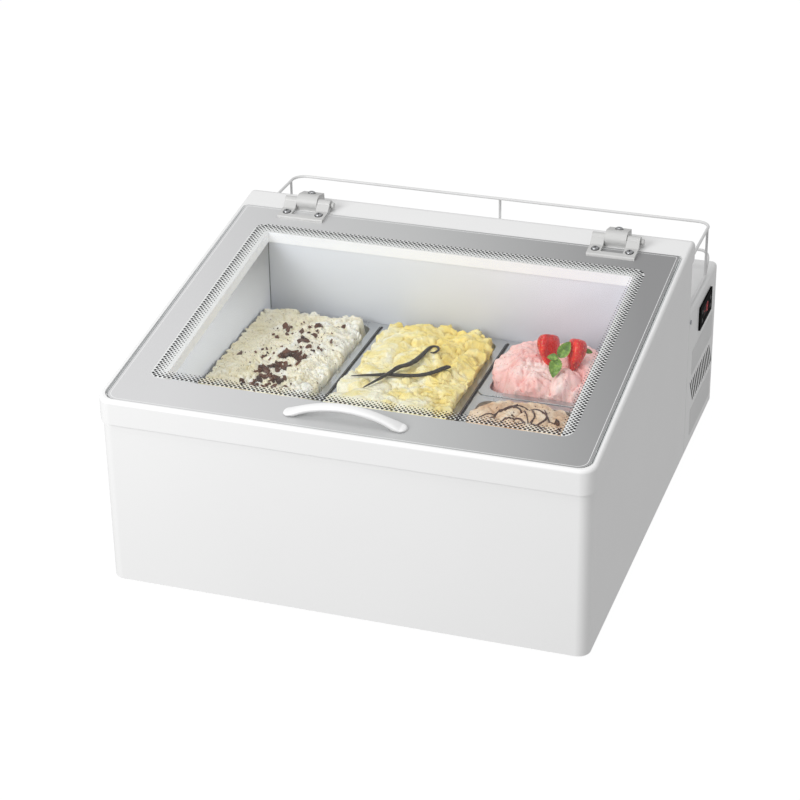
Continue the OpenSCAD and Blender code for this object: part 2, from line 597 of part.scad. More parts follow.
module refrigerant_pipes() place() color(copper) {
  // discharge line
  rod_z(-150, 560, 140, 165, 3); translate([-150, 560, 165]) sphere(3);
  rod_x(-150, 229, 560, 165, 3); translate([229, 560, 165]) sphere(3);
  rod_z(229, 560, 150, 165, 3);
  // suction line
  rod_y(-60, body_d + 0.5, 560, 95, 3.5); translate([-60, 560, 95]) sphere(3.5);
  rod_z(-60, 560, 50, 95, 3.5); translate([-60, 560, 50]) sphere(3.5);
  rod_x(-118, -60, 560, 50, 3.5);
  // liquid line
  rod_z(229, 660, 150, 156, 2.5); translate([229, 660, 156]) sphere(2.5);
  rod_x(60, 229, 660, 156, 2.5); translate([60, 660, 156]) sphere(2.5);
  rod_z(60, 660, 150, 156, 2.5);
  // capillary
  rod_z(60, 660, 45, 60, 1.5); translate([60, 660, 45]) sphere(1.5);
  rod_y(60, 545, 660, 45, 1.5); translate([60, 545, 45]) sphere(1.5);
  rod_z(60, 545, 45, 175, 1.5); translate([60, 545, 175]) sphere(1.5);
  rod_y(60, body_d + 0.5, 545, 175, 1.5);
}

outer_shell();
base_plate();
rubber_feet();
insulation_foam();
inner_liner();
evaporator_coil();
rear_bulkhead();
collar_frame();
lid_glass();
lid_gasket();
lid_handle();
handle_screws();
hinge_leaf_left();
hinge_leaf_right();
hinge_knuckle_left();
hinge_knuckle_right();
hinge_pins();
hinge_leaf_screws();
hinge_leaf_nuts();
hinge_knuckle_screws();
pan_left();
pan_middle();
pan_right_rear();
pan_right_front();
ice_cream_left();
ice_cream_middle();
ice_cream_right_rear();
ice_cream_right_front();
pan_support_frame();
frame_rests();
temperature_probe();
machine_cover();
cover_screws();
rear_panel();
rear_panel_screws();
wire_gallery();
gallery_sockets();
thermostat_case();
thermostat_bezel();
display_lens();
key_up();
key_down();
key_set();
key_power();
switch_housing();
switch_rocker();
cable_gland();
gland_nut();
compressor();
compressor_grommets();
compressor_bolts();
relay_cover();
condenser();
condenser_bends();
fan_shroud();
fan_motor();
fan_rotor();
filter_drier();
refrigerant_pipes();
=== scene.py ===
import bpy, bmesh, json, math, random
from mathutils import Vector, Matrix, noise
from mathutils.bvhtree import BVHTree


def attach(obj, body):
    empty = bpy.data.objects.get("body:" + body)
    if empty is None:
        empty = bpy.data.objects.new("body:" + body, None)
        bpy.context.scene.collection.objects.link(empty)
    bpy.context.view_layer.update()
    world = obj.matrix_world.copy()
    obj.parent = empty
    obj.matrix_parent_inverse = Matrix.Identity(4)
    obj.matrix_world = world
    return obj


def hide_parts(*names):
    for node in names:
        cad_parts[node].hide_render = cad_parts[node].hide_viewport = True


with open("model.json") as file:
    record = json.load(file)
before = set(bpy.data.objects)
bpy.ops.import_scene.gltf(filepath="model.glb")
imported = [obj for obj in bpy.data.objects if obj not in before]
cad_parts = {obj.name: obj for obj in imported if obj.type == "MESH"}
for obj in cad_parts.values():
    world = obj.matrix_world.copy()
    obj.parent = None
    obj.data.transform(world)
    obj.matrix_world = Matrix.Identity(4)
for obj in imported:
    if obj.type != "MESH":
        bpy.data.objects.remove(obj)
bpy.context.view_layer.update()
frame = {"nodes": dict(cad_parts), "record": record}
NODES = frame["nodes"]
rec = frame["record"]
random.seed(11)

# ---------------------------------------------------------------- frames
YC, FOOT = 350.5, 5.0
TILT = math.radians(8.137)
CT, ST = math.cos(TILT), math.sin(TILT)


def P(x, y, z):
    """cabinet millimetres to the row frame"""
    return Vector((x / 1000, (y - YC) / 1000, (z + FOOT) / 1000))


def S(x, s, n):
    """the lid's own frame: across, up the slope, over the glass, in millimetres"""
    return P(x, 3.5 + s * CT - n * ST, 252.8 + s * ST + n * CT)


# ---------------------------------------------------------------- materials
def srgb(r, g, b):
    f = lambda c: c / 12.92 if c <= 0.04045 else ((c + 0.055) / 1.055) ** 2.4
    return (f(r / 255), f(g / 255), f(b / 255), 1)


def scaled(c, k):
    return (min(1, c[0] * k), min(1, c[1] * k), min(1, c[2] * k), 1)


def new_mat(name):
    m = bpy.data.materials.new(name)
    m.use_nodes = True
    nt = m.node_tree
    b = nt.nodes["Principled BSDF"]
    tc = nt.nodes.new("ShaderNodeTexCoord")
    return m, nt, b, tc


def tex(nt, tc, scale, detail=3, stretch=None, rough=0.5, dist=0.0):
    n = nt.nodes.new("ShaderNodeTexNoise")
    n.inputs["Scale"].default_value = scale
    n.inputs["Detail"].default_value = detail
    n.inputs["Roughness"].default_value = rough
    n.inputs["Distortion"].default_value = dist
    src = tc.outputs["Object"]
    if stretch:
        mp = nt.nodes.new("ShaderNodeMapping")
        mp.inputs["Scale"].default_value = stretch
        nt.links.new(src, mp.inputs["Vector"])
        src = mp.outputs["Vector"]
    nt.links.new(src, n.inputs["Vector"])
    return n.outputs["Fac"]


def ramp(nt, fac, stops):
    r = nt.nodes.new("ShaderNodeValToRGB")
    e = r.color_ramp.elements
    e[0].position, e[0].color = stops[0]
    e[1].position, e[1].color = stops[-1]
    for p, c in stops[1:-1]:
        x = e.new(p)
        x.color = c
    nt.links.new(fac, r.inputs["Fac"])
    return r.outputs["Color"]


def remap(nt, fac, a, b):
    m = nt.nodes.new("ShaderNodeMapRange")
    m.inputs["From Min"].default_value = 0.25
    m.inputs["From Max"].default_value = 0.75
    m.inputs["To Min"].default_value = a
    m.inputs["To Max"].default_value = b
    nt.links.new(fac, m.inputs["Value"])
    return m.outputs["Result"]


def bump(nt, b, fac, strength, dist):
    n = nt.nodes.new("ShaderNodeBump")
    n.inputs["Strength"].default_value = strength
    n.inputs["Distance"].default_value = dist
    nt.links.new(fac, n.inputs["Height"])
    nt.links.new(n.outputs["Normal"], b.inputs["Normal"])
    return n


def plain(name, col, rough, metal=0.0, coat=0.0, var=0.03, vs=9, rv=0.05, bs=700, bd=0.00004, bstr=0.35,
          stretch=None, spec=0.5):
    m, nt, b, tc = new_mat(name)
    f = tex(nt, tc, vs, 4, stretch)
    nt.links.new(ramp(nt, f, [(0.3, scaled(col, 1 - var)), (0.7, scaled(col, 1 + var))]), b.inputs["Base Color"])
    nt.links.new(remap(nt, tex(nt, tc, vs * 3, 5, stretch), max(0.02, rough - rv), rough + rv), b.inputs["Roughness"])
    b.inputs["Metallic"].default_value = metal
    b.inputs["Coat Weight"].default_value = coat
    b.inputs["Coat Roughness"].default_value = 0.08
    b.inputs["Specular IOR Level"].default_value = spec
    bump(nt, b, tex(nt, tc, bs, 3, stretch), bstr, bd)
    return m


M = {}
M["painted_steel"] = plain("painted_steel", srgb(236, 236, 236), 0.38, var=0.012, vs=3, bs=420, bd=0.00003, bstr=0.25)
M["liner_white"] = plain("liner_white", srgb(236, 240, 249), 0.33, var=0.02, vs=5, bs=300, bd=0.00003, bstr=0.25)
M["white_plastic"] = plain("white_plastic", srgb(237, 237, 237), 0.42, var=0.010, vs=4, bs=500, bd=0.00002, bstr=0.2)
M["grey_plastic"] = plain("grey_plastic", srgb(200, 200, 199), 0.42, var=0.02, vs=30, bs=1500, bd=0.00004, bstr=0.4)
M["black_plastic"] = plain("black_plastic", srgb(20, 20, 22), 0.5, var=0.15, vs=30, bs=1800, bd=0.00003, bstr=0.4)
M["stainless"] = plain("stainless", srgb(196, 198, 200), 0.30, metal=0.85, var=0.05, vs=25, stretch=(1, 0.12, 1), bs=900, bd=0.00002, bstr=0.3)
M["zinc_steel"] = plain("zinc_steel", srgb(178, 180, 184), 0.38, metal=0.9, var=0.12, vs=90, bs=900, bd=0.00002)
M["white_wire"] = plain("white_wire", srgb(222, 222, 222), 0.32, var=0.015, vs=20, bs=900, bd=0.00003)
M["black_rubber"] = plain("black_rubber", srgb(34, 34, 35), 0.75, var=0.12, vs=60, bs=1600, bd=0.00008)
M["foam"] = plain("foam", srgb(232, 220, 180), 0.9, var=0.08, vs=120, bs=900, bd=0.0004, bstr=0.8)
M["copper"] = plain("copper", srgb(200, 122, 86), 0.3, metal=0.95, var=0.12, vs=40, bs=700, bd=0.00002)
M["black_enamel"] = plain("black_enamel", srgb(26, 26, 28), 0.28, coat=0.6, var=0.1, vs=30, bs=420, bd=0.00005)


def shade_toward_well_bottom(m, z0, z1, low):
    """painted shade: the colour falls to `low` of itself toward the bottom of the well"""
    nt = m.node_tree
    b = nt.nodes["Principled BSDF"]
    src = b.inputs["Base Color"].links[0].from_socket
    tc = nt.nodes.new("ShaderNodeTexCoord")
    sep = nt.nodes.new("ShaderNodeSeparateXYZ")
    nt.links.new(tc.outputs["Object"], sep.inputs[0])
    mr = nt.nodes.new("ShaderNodeMapRange")
    mr.inputs["From Min"].default_value = z0
    mr.inputs["From Max"].default_value = z1
    nt.links.new(sep.outputs["Z"], mr.inputs["Value"])
    k = ramp(nt, mr.outputs["Result"], [(0.0, (low, low, low, 1)), (0.45, ((1 + low) / 2, (1 + low) / 2, (1 + low) / 2, 1)), (1.0, (1, 1, 1, 1))])
    mu = nt.nodes.new("ShaderNodeMix")
    mu.data_type = "RGBA"
    mu.blend_type = "MULTIPLY"
    mu.inputs["Factor"].default_value = 1.0
    nt.links.new(src, mu.inputs["A"])
    nt.links.new(k, mu.inputs["B"])
    nt.links.new(mu.outputs["Result"], b.inputs["Base Color"])


# painted shade: the well's walls are darker toward the bottom
shade_toward_well_bottom(M["liner_white"], 0.19, 0.30, 0.68)


def display_material():
    m, nt, b, tc = new_mat("display_red")
    f = tex(nt, tc, 60, 2)
    nt.links.new(ramp(nt, f, [(0.3, srgb(22, 3, 7)), (0.7, srgb(34, 5, 10))]), b.inputs["Base Color"])
    b.inputs["Roughness"].default_value = 0.6
    b.inputs["Specular IOR Level"].default_value = 0.1
    return m


def digit_material():
    m, nt, b, tc = new_mat("display_digits")
    f = tex(nt, tc, 900, 2)
    nt.links.new(ramp(nt, f, [(0.3, srgb(150, 14, 26)), (0.7, srgb(196, 28, 42))]), b.inputs["Base Color"])
    b.inputs["Emission Color"].default_value = srgb(200, 24, 44)
    b.inputs["Emission Strength"].default_value = 0.30
    b.inputs["Roughness"].default_value = 0.4
    return m


M["display_red"] = display_material()


def glass_material():
    m = bpy.data.materials.new("lid_glass")
    m.use_nodes = True
    nt = m.node_tree
    nt.nodes.remove(nt.nodes["Principled BSDF"])
    out = nt.nodes["Material Output"]
    tc = nt.nodes.new("ShaderNodeTexCoord")
    tr = nt.nodes.new("ShaderNodeBsdfTransparent")
    f = tex(nt, tc, 3, 2)
    nt.links.new(ramp(nt, f, [(0.3, (0.985, 0.990, 0.988, 1)), (0.7, (0.992, 0.995, 0.994, 1))]), tr.inputs["Color"])
    gl = nt.nodes.new("ShaderNodeBsdfGlossy")
    gl.inputs["Roughness"].default_value = 0.02
    gl.inputs["Color"].default_value = (1, 1, 1, 1)
    # Schlick's reflectance, the same on either side of the pane's faces
    lw = nt.nodes.new("ShaderNodeLayerWeight")
    lw.inputs["Blend"].default_value = 0.5
    pw = nt.nodes.new("ShaderNodeMath")
    pw.operation = "POWER"
    pw.inputs[1].default_value = 5
    nt.links.new(lw.outputs["Facing"], pw.inputs[0])
    fr = nt.nodes.new("ShaderNodeMath")
    fr.operation = "MULTIPLY_ADD"
    fr.inputs[1].default_value = 0.96
    fr.inputs[2].default_value = 0.022
    nt.links.new(pw.outputs[0], fr.inputs[0])
    mx = nt.nodes.new("ShaderNodeMixShader")
    nt.links.new(fr.outputs[0], mx.inputs["Fac"])
    nt.links.new(tr.outputs["BSDF"], mx.inputs[1])
    nt.links.new(gl.outputs["BSDF"], mx.inputs[2])
    nt.links.new(mx.outputs["Shader"], out.inputs["Surface"])
    return m


M["lid_glass"] = glass_material()


def frit_material():
    m, nt, b, tc = new_mat("printed_border")
    # the print's own grey, with painted reflection: lighter at the left and front, darker at the right and rear
    sep = nt.nodes.new("ShaderNodeSeparateXYZ")
    nt.links.new(tc.outputs["Object"], sep.inputs[0])
    mr = nt.nodes.new("ShaderNodeMapRange")
    mr.inputs["From Min"].default_value = -0.30
    mr.inputs["From Max"].default_value = 0.30
    nt.links.new(sep.outputs["X"], mr.inputs["Value"])
    mixn = nt.nodes.new("ShaderNodeMath")
    mixn.operation = "MULTIPLY_ADD"
    mixn.inputs[1].default_value = 0.05
    nt.links.new(tex(nt, tc, 900, 2), mixn.inputs[0])
    reflection_slope = nt.nodes.new("ShaderNodeMath")
    reflection_slope.operation = "MULTIPLY_ADD"
    reflection_slope.inputs[1].default_value = 0.45
    nt.links.new(sep.outputs["Y"], reflection_slope.inputs[0])
    nt.links.new(mr.outputs["Result"], reflection_slope.inputs[2])
    nt.links.new(reflection_slope.outputs[0], mixn.inputs[2])
    c = ramp(nt, mixn.outputs[0], [(0.0, srgb(213, 213, 214)), (0.5, srgb(192, 193, 193)), (1.0, srgb(146, 146, 147))])
    nt.links.new(c, b.inputs["Base Color"])
    b.inputs["Metallic"].default_value = 0.15
    nt.links.new(remap(nt, tex(nt, tc, 40, 3), 0.34, 0.42), b.inputs["Roughness"])
    b.inputs["Coat Weight"].default_value = 0.35
    b.inputs["Coat Roughness"].default_value = 0.05
    bump(nt, b, tex(nt, tc, 1400, 2), 0.25, 0.00002)
    return m


def ice_material(name, deep, c0, c1, c2, speck=None, speck_scale=300, speck_at=0.66, rough=0.5, shift=None):
    m, nt, b, tc = new_mat(name)
    f = tex(nt, tc, 32, 5, None, 0.6, 0.6)
    if shift:
        # painted light: the ice's tone slopes lighter or darker across the pan by position, as the light falls
        sep = nt.nodes.new("ShaderNodeSeparateXYZ")
        nt.links.new(tc.outputs["Object"], sep.inputs[0])
        for axis, k, at in shift:
            ma = nt.nodes.new("ShaderNodeMath")
            ma.operation = "SUBTRACT"
            nt.links.new(sep.outputs[axis], ma.inputs[0])
            ma.inputs[1].default_value = at
            mb = nt.nodes.new("ShaderNodeMath")
            mb.operation = "MULTIPLY_ADD"
            nt.links.new(ma.outputs[0], mb.inputs[0])
            mb.inputs[1].default_value = k
            nt.links.new(f, mb.inputs[2])
            f = mb.outputs[0]
    col = ramp(nt, f, [(0.34, c0), (0.5, c1), (0.66, c2)])
    if speck:
        k = ramp(nt, tex(nt, tc, speck_scale, 1), [(speck_at, (0, 0, 0, 1)), (speck_at + 0.02, (1, 1, 1, 1))])
        mx = nt.nodes.new("ShaderNodeMix")
        mx.data_type = "RGBA"
        nt.links.new(k, mx.inputs["Factor"])
        nt.links.new(col, mx.inputs["A"])
        mx.inputs["B"].default_value = speck
        col = mx.outputs["Result"]
    # painted shade: creases darkened toward the `deep` colour by the surface's pointiness
    ge = nt.nodes.new("ShaderNodeNewGeometry")
    cav = ramp(nt, ge.outputs["Pointiness"], [(0.40, deep), (0.48, (0.95, 0.94, 0.91, 1)), (0.52, (1, 1, 1, 1))])
    mu = nt.nodes.new("ShaderNodeMix")
    mu.data_type = "RGBA"
    mu.blend_type = "MULTIPLY"
    mu.inputs["Factor"].default_value = 1.0
    nt.links.new(col, mu.inputs["A"])
    nt.links.new(cav, mu.inputs["B"])
    col = mu.outputs["Result"]
    nt.links.new(col, b.inputs["Base Color"])
    nt.links.new(remap(nt, tex(nt, tc, 200, 3), rough - 0.1, rough + 0.12), b.inputs["Roughness"])
    b.inputs["Subsurface Weight"].default_value = 0.12
    b.inputs["Subsurface Radius"].default_value = (0.004, 0.003, 0.002)
    b.inputs["Subsurface Scale"].default_value = 1.0
    n1 = bump(nt, b, tex(nt, tc, 700, 5, None, 0.65), 0.5, 0.0006)
    return m


M["cream_ice"] = ice_material("cream_ice", (0.62, 0.55, 0.40, 1), srgb(245, 236, 204), srgb(252, 245, 222), srgb(255, 254, 245), srgb(120, 92, 70), 420, 0.70,
                              shift=(("X", 1.3, -0.19),))
M["vanilla_ice"] = ice_material("vanilla_ice", (0.52, 0.38, 0.12, 1), srgb(251, 227, 134), srgb(254, 239, 174), srgb(255, 251, 228),
                                shift=(("X", -1.2, 0.0), ("Y", -1.0, -0.08)))
M["strawberry_ice"] = ice_material("strawberry_ice", (0.72, 0.28, 0.28, 1), srgb(250, 188, 184), srgb(255, 209, 205), srgb(255, 230, 226), srgb(210, 80, 88), 380, 0.72)
M["coffee_ice"] = ice_material("coffee_ice", (0.42, 0.26, 0.16, 1), srgb(216, 178, 144), srgb(236, 209, 180), srgb(250, 236, 218), srgb(120, 78, 60), 240, 0.68)

SLOT = {r["node"]: r["material_slot"] for r in rec["subparts"]}
BODY = {n: b for b, ns in rec["behaviour"]["bodies"].items() for n in ns}
for n, o in NODES.items():
    if o.data.materials:
        for ms in o.material_slots:
            ms.material = M[SLOT[n]]
    else:
        o.data.materials.append(M[SLOT[n]])


# ---------------------------------------------------------------- building tools
def obj_from_bm(name, bm, mat, body, smooth=35):
    me = bpy.data.meshes.new(name)
    bmesh.ops.recalc_face_normals(bm, faces=bm.faces)
    bm.to_mesh(me)
    bm.free()
    return obj_from_mesh(name, me, mat, body, smooth)


def obj_from_mesh(name, me, mat, body, smooth=35):
    o = bpy.data.objects.new(name, me)
    bpy.context.scene.collection.objects.link(o)
    me.materials.clear()
    me.materials.append(mat)
    me.polygons.foreach_set("use_smooth", [True] * len(me.polygons))
    if smooth and smooth < 180:
        me.set_sharp_from_angle(angle=math.radians(smooth))
    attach(o, body)
    return o


def apply_mods(o):
    bpy.context.view_layer.update()
    dg = bpy.context.evaluated_depsgraph_get()
    me = bpy.data.meshes.new_from_object(o.evaluated_get(dg))
    o.modifiers.clear()
    o.data = me
    return me


def even_normals(o, angle):
    """smooth shading that keeps the large faces flat"""
    me = o.data
    me.polygons.foreach_set("use_smooth", [True] * len(me.polygons))
    me.set_sharp_from_angle(angle=math.radians(angle))
    w = o.modifiers.new("w", "WEIGHTED_NORMAL")
    w.keep_sharp = True
    w.weight = 100
    return apply_mods(o)


def detailed(node, width, segs=3, angle=30, smooth=40, mat=None):
    """A copy of a CAD node with its edges rounded off, standing for it."""
    src = NODES[node]
    bm = bmesh.new()
    bm.from_mesh(src.data)
    bmesh.ops.remove_doubles(bm, verts=bm.verts, dist=2e-6)
    bmesh.ops.dissolve_limit(bm, angle_limit=math.radians(0.4), verts=bm.verts, edges=bm.edges)
    me = bpy.data.meshes.new(node + "_rounded")
    bm.to_mesh(me)
    bm.free()
    o = bpy.data.objects.new(node + "_rounded", me)
    bpy.context.scene.collection.objects.link(o)
    me.materials.clear()
    me.materials.append(mat or M[SLOT[node]])
    if width:
        b = o.modifiers.new("b", "BEVEL")
        b.width = width
        b.segments = segs
        b.limit_method = "ANGLE"
        b.angle_limit = math.radians(angle)
        b.use_clamp_overlap = True
        me = apply_mods(o)
    even_normals(o, smooth)
    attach(o, BODY[node])
    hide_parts(node)
    return o


def tube(bm, pts, rads, sides=12, squash=1.0):
    """A closed tube through the points, with its radius at each."""
    rings = []
    prev = None
    for i, p in enumerate(pts):
        a = pts[max(0, i - 1)]
        c = pts[min(len(pts) - 1, i + 1)]
        t = (c - a).normalized()
        up = prev if prev is not None else (Vector((0, 0, 1)) if abs(t.z) < 0.9 else Vector((1, 0, 0)))
        u = (up - t * up.dot(t)).normalized()
        v = t.cross(u)
        prev = u
        rings.append([bm.verts.new(p + u * math.cos(k * 2 * math.pi / sides) * rads[i] * squash + v * math.sin(k * 2 * math.pi / sides) * rads[i]) for k in range(sides)])
    for a, b in zip(rings, rings[1:]):
        for k in range(sides):
            bm.faces.new((a[k], a[(k + 1) % sides], b[(k + 1) % sides], b[k]))
    bm.faces.new(list(reversed(rings[0])))
    bm.faces.new(rings[-1])


def spline(pts, n):
    """Catmull-Rom through the points"""
    out = []
    q = [pts[0]] + list(pts) + [pts[-1]]
    for i in range(1, len(q) - 2):
        for k in range(n):
            t = k / n
            a, b, c, d = q[i - 1], q[i], q[i + 1], q[i + 2]
            out.append(0.5 * ((2 * b) + (c - a) * t + (2 * a - 5 * b + 4 * c - d) * t * t + (3 * b - a - 3 * c + d) * t ** 3))
    out.append(pts[-1])
    return out


def fbm(x, y, z, octaves=3):
    s, a, f = 0.0, 1.0, 1.0
    for _ in range(octaves):
        s += a * noise.noise(Vector((x * f, y * f, z * f)))
        a *= 0.5
        f *= 2.03
    return s


# ---------------------------------------------------------------- cabinet
detailed("outer_shell", 0.0005, 2)
def collar():
    """The collar with its outer upper edge rounded widely and the rest a little."""
    src = NODES["collar_frame"]
    bm = bmesh.new()
    bm.from_mesh(src.data)
    bmesh.ops.remove_doubles(bm, verts=bm.verts, dist=2e-6)
    bmesh.ops.dissolve_limit(bm, angle_limit=math.radians(0.4), verts=bm.verts, edges=bm.edges)
    lay = bm.edges.layers.float.new("bevel_weight_edge")

    def rim(v):
        x, y = v.co.x * 1000, v.co.y * 1000 + YC
        dx, dy = 313 - abs(x), min(y + 3, 530 - y)
        r = 19 if y < 100 else 6
        d = r - math.hypot(max(0, r - dx), max(0, r - dy)) if (dx < r and dy < r) else min(dx, dy)
        z = v.co.z * 1000 - FOOT
        n = (z - 252.8) * CT - (y - 3.5) * ST
        return d < 0.4 and (n > -3.0 or (y > 508 and n > -18))

    for e in bm.edges:
        if len(e.link_faces) != 2:
            continue
        a = math.degrees(e.calc_face_angle(0))
        if a < 25:
            continue
        big = rim(e.verts[0]) and rim(e.verts[1])
        e[lay] = 1.0 if big else 0.0
    me = bpy.data.meshes.new("collar_frame_rounded")
    bm.to_mesh(me)
    bm.free()
    o = bpy.data.objects.new("collar_frame_rounded", me)
    bpy.context.scene.collection.objects.link(o)
    me.materials.clear()
    me.materials.append(M["white_plastic"])
    b = o.modifiers.new("b", "BEVEL")
    b.width = 0.0044
    b.segments = 6
    b.limit_method = "WEIGHT"
    b.use_clamp_overlap = False
    b = o.modifiers.new("c", "BEVEL")
    b.width = 0.0006
    b.segments = 2
    b.limit_method = "ANGLE"
    b.angle_limit = math.radians(40)
    b.use_clamp_overlap = True
    apply_mods(o)
    me = o.data
    lo = [min(v.co[k] for v in src.data.vertices) for k in range(3)]
    hi = [max(v.co[k] for v in src.data.vertices) for k in range(3)]
    for v in me.vertices:
        for k in range(3):
            v.co[k] = min(hi[k], max(lo[k], v.co[k]))
    lip = plain("lip_white", srgb(240, 242, 247), 0.3, var=0.01, vs=4, bs=500, bd=0.00002)
    # painted light: the lip glows faintly, so it reads bright in the shade at the top of the well
    lip_glow_painted = lip.node_tree.nodes["Principled BSDF"]
    lip_glow_painted.inputs["Emission Color"].default_value = (1, 1, 1, 1)
    lip_glow_painted.inputs["Emission Strength"].default_value = 0.16
    me.materials.append(lip)
    for f in me.polygons:
        x, y, z = f.center.x * 1000, f.center.y * 1000 + YC, f.center.z * 1000 - FOOT
        if abs(x) < 256 and 68 < y < 430 and (z - 252.8) * CT - (y - 3.5) * ST < -8.5:
            f.material_index = 1
    even_normals(o, 32)
    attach(o, "cabinet")
    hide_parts("collar_frame")


collar()
o = detailed("machine_cover", 0.0004, 2)
o.data.materials.append(plain("slot_shadow", srgb(70, 70, 71), 0.8, var=0.1, vs=300))
for f in o.data.polygons:
    x, y, z = f.center.x * 1000, f.center.y * 1000 + YC, f.center.z * 1000 - FOOT
    if 548 < y < 703 and 57 < z < 105 and abs(f.normal.x) < 0.8 and abs(x) > 308:
        f.material_index = 1
detailed("rear_panel", 0.0003, 2)
detailed("thermostat_bezel", 0.0006, 3, mat=plain("bezel_black", srgb(7, 7, 8), 0.75, var=0.15, vs=30, bs=1500, bd=0.00002, spec=0.05))
for n in ("hinge_leaf_left", "hinge_leaf_right"):
    detailed(n, 0.0007, 3)
for n in ("hinge_knuckle_left", "hinge_knuckle_right"):
    detailed(n, 0.0008, 3)
o = detailed("hinge_pins", 0.0006, 3)
pin = S(0, 489, 6.5)
for v in o.data.vertices:
    v.co.y = pin.y + (v.co.y - pin.y) * 0.965
    v.co.z = pin.z + (v.co.z - pin.z) * 0.965
screw_steel = plain("screw_steel", srgb(172, 173, 175), 0.30, metal=0.75, var=0.10, vs=120, bs=900, bd=0.00002)
detailed("hinge_leaf_screws", 0.00025, 2, mat=screw_steel)
detailed("hinge_knuckle_screws", 0.00025, 2, mat=screw_steel)
shade_mat = plain("recess_shadow", srgb(58, 58, 60), 0.7, var=0.15, vs=300)


def screw_marks(name, frames, body):
    """painted shade: a dark ring in the groove round each screw head and dark blocks on the floor of its cross recess
    """
    bm = bmesh.new()
    for o, u, v, w in frames:
        k = 36
        rings = []
        for r, h in ((4.66, 0.02), (4.66, 0.22), (5.75, 0.12), (5.75, 0.02)):
            rings.append([bm.verts.new(o + (u * math.cos(a) * r + v * math.sin(a) * r + w * h) / 1000) for a in [2 * math.pi * q / k for q in range(k)]])
        for a, b in zip(rings, rings[1:] + rings[:1]):
            for q in range(k):
                bm.faces.new((a[q], a[(q + 1) % k], b[(q + 1) % k], b[q]))
        for t in (20, 110):
            c, s_ = math.cos(math.radians(t)), math.sin(math.radians(t))
            d, e = u * c + v * s_, v * c - u * s_
            q = [o + (d * a * 2.48 + e * b * 0.58 + w * h) / 1000 for h in (1.12, 2.05) for a, b in ((-1, -1), (1, -1), (1, 1), (-1, 1))]
            q = [bm.verts.new(p) for p in q]
            for f in ((3, 2, 1, 0), (4, 5, 6, 7), (0, 1, 5, 4), (1, 2, 6, 5), (2, 3, 7, 6), (3, 0, 4, 7)):
                bm.faces.new([q[m] for m in f])
    obj_from_bm(name, bm, shade_mat, body, 30)


X_, U_, N_ = Vector((1, 0, 0)), Vector((0, CT, ST)), Vector((0, -ST, CT))
screw_marks("leaf_screw_marks", [(S(sx_ * 216 + d, 464, 4.2), X_, U_, N_) for sx_ in (-1, 1) for d in (-23, 23)], "lid")
k20 = math.radians(-20)
U2, N2 = U_ * math.cos(k20) + N_ * math.sin(k20), N_ * math.cos(k20) - U_ * math.sin(k20)
screw_marks("knuckle_screw_marks", [(S(sx_ * 216, 502.34, 14.2), X_, U2, N2) for sx_ in (-1, 1)], "cabinet")
detailed("wire_gallery", 0, smooth=50)
detailed("gallery_sockets", 0.0006, 3)
for n in ("key_up", "key_down", "key_set", "key_power"):
    detailed(n, 0.0005, 3)
for n in ("pan_left", "pan_middle", "pan_right_rear", "pan_right_front"):
    detailed(n, 0.0004, 2)
detailed("pan_support_frame", 0.0003, 2)
detailed("cover_screws", 0.0004, 2)
detailed("rear_panel_screws", 0.0004, 2)
detailed("cable_gland", 0.0008, 3)
detailed("switch_housing", 0.0006, 3)
detailed("switch_rocker", 0.0005, 3)
detailed("rubber_feet", 0.001, 3)
well_walls = detailed("inner_liner", 0)


# lid: printed border and its fading dots
def rr_loop(x0, s0, x1, s1, r, nc=14, ns=10):
    pts = []
    for cx, cs, a0 in ((x1 - r, s1 - r, 0), (x0 + r, s1 - r, 90), (x0 + r, s0 + r, 180), (x1 - r, s0 + r, 270)):
        for k in range(nc + 1):
            a = math.radians(a0 + 90 * k / nc)
            pts.append((cx + r * math.cos(a), cs + r * math.sin(a)))
    return pts


def d_loop(x0, s0, x1, s1, rf, rr, nc=14):
    pts = []
    for cx, cs, a0, r in ((x1 - rr, s1 - rr, 0, rr), (x0 + rr, s1 - rr, 90, rr), (x0 + rf, s0 + rf, 180, rf), (x1 - rf, s0 + rf, 270, rf)):
        for k in range(nc + 1):
            a = math.radians(a0 + 90 * k / nc)
            pts.append((cx + r * math.cos(a), cs + r * math.sin(a)))
    return pts


WIN = (-269.5, 56.5, 269.5, 433.0, 15.0)


def border():
    bm = bmesh.new()
    outer = d_loop(-303.5, 1.0, 303.5, 476.4, 15.6, 3.7)
    inner = rr_loop(*WIN)
    L = []
    for n in (0.03, 0.09):
        L.append([[bm.verts.new(S(x, s, n)) for x, s in lp] for lp in (outer, inner)])
    k = len(outer)
    for i in range(k):
        j = (i + 1) % k
        bm.faces.new((L[1][0][i], L[1][0][j], L[1][1][j], L[1][1][i]))
        bm.faces.new((L[0][0][i], L[0][1][i], L[0][1][j], L[0][0][j]))
        bm.faces.new((L[0][0][i], L[0][0][j], L[1][0][j], L[1][0][i]))
        bm.faces.new((L[0][1][i], L[1][1][i], L[1][1][j], L[0][1][j]))
    return obj_from_bm("printed_border", bm, frit_material(), "lid", 20)


def unshaded(o):
    """the thin print lets the white lip under it read as white"""
    o.visible_shadow = False
    o.visible_diffuse = False


unshaded(border())
dot_mat = plain("printed_dots", srgb(30, 30, 32), 0.35, var=0.1, vs=60, bs=1500, bd=0.00001)


def inset(x, s):
    """how far a point lies inside the window's edge"""
    x0, s0, x1, s1, r = WIN
    dx = min(x - x0, x1 - x)
    ds = min(s - s0, s1 - s)
    if dx < r and ds < r:
        return r - math.hypot(r - dx, r - ds)
    return min(dx, ds)


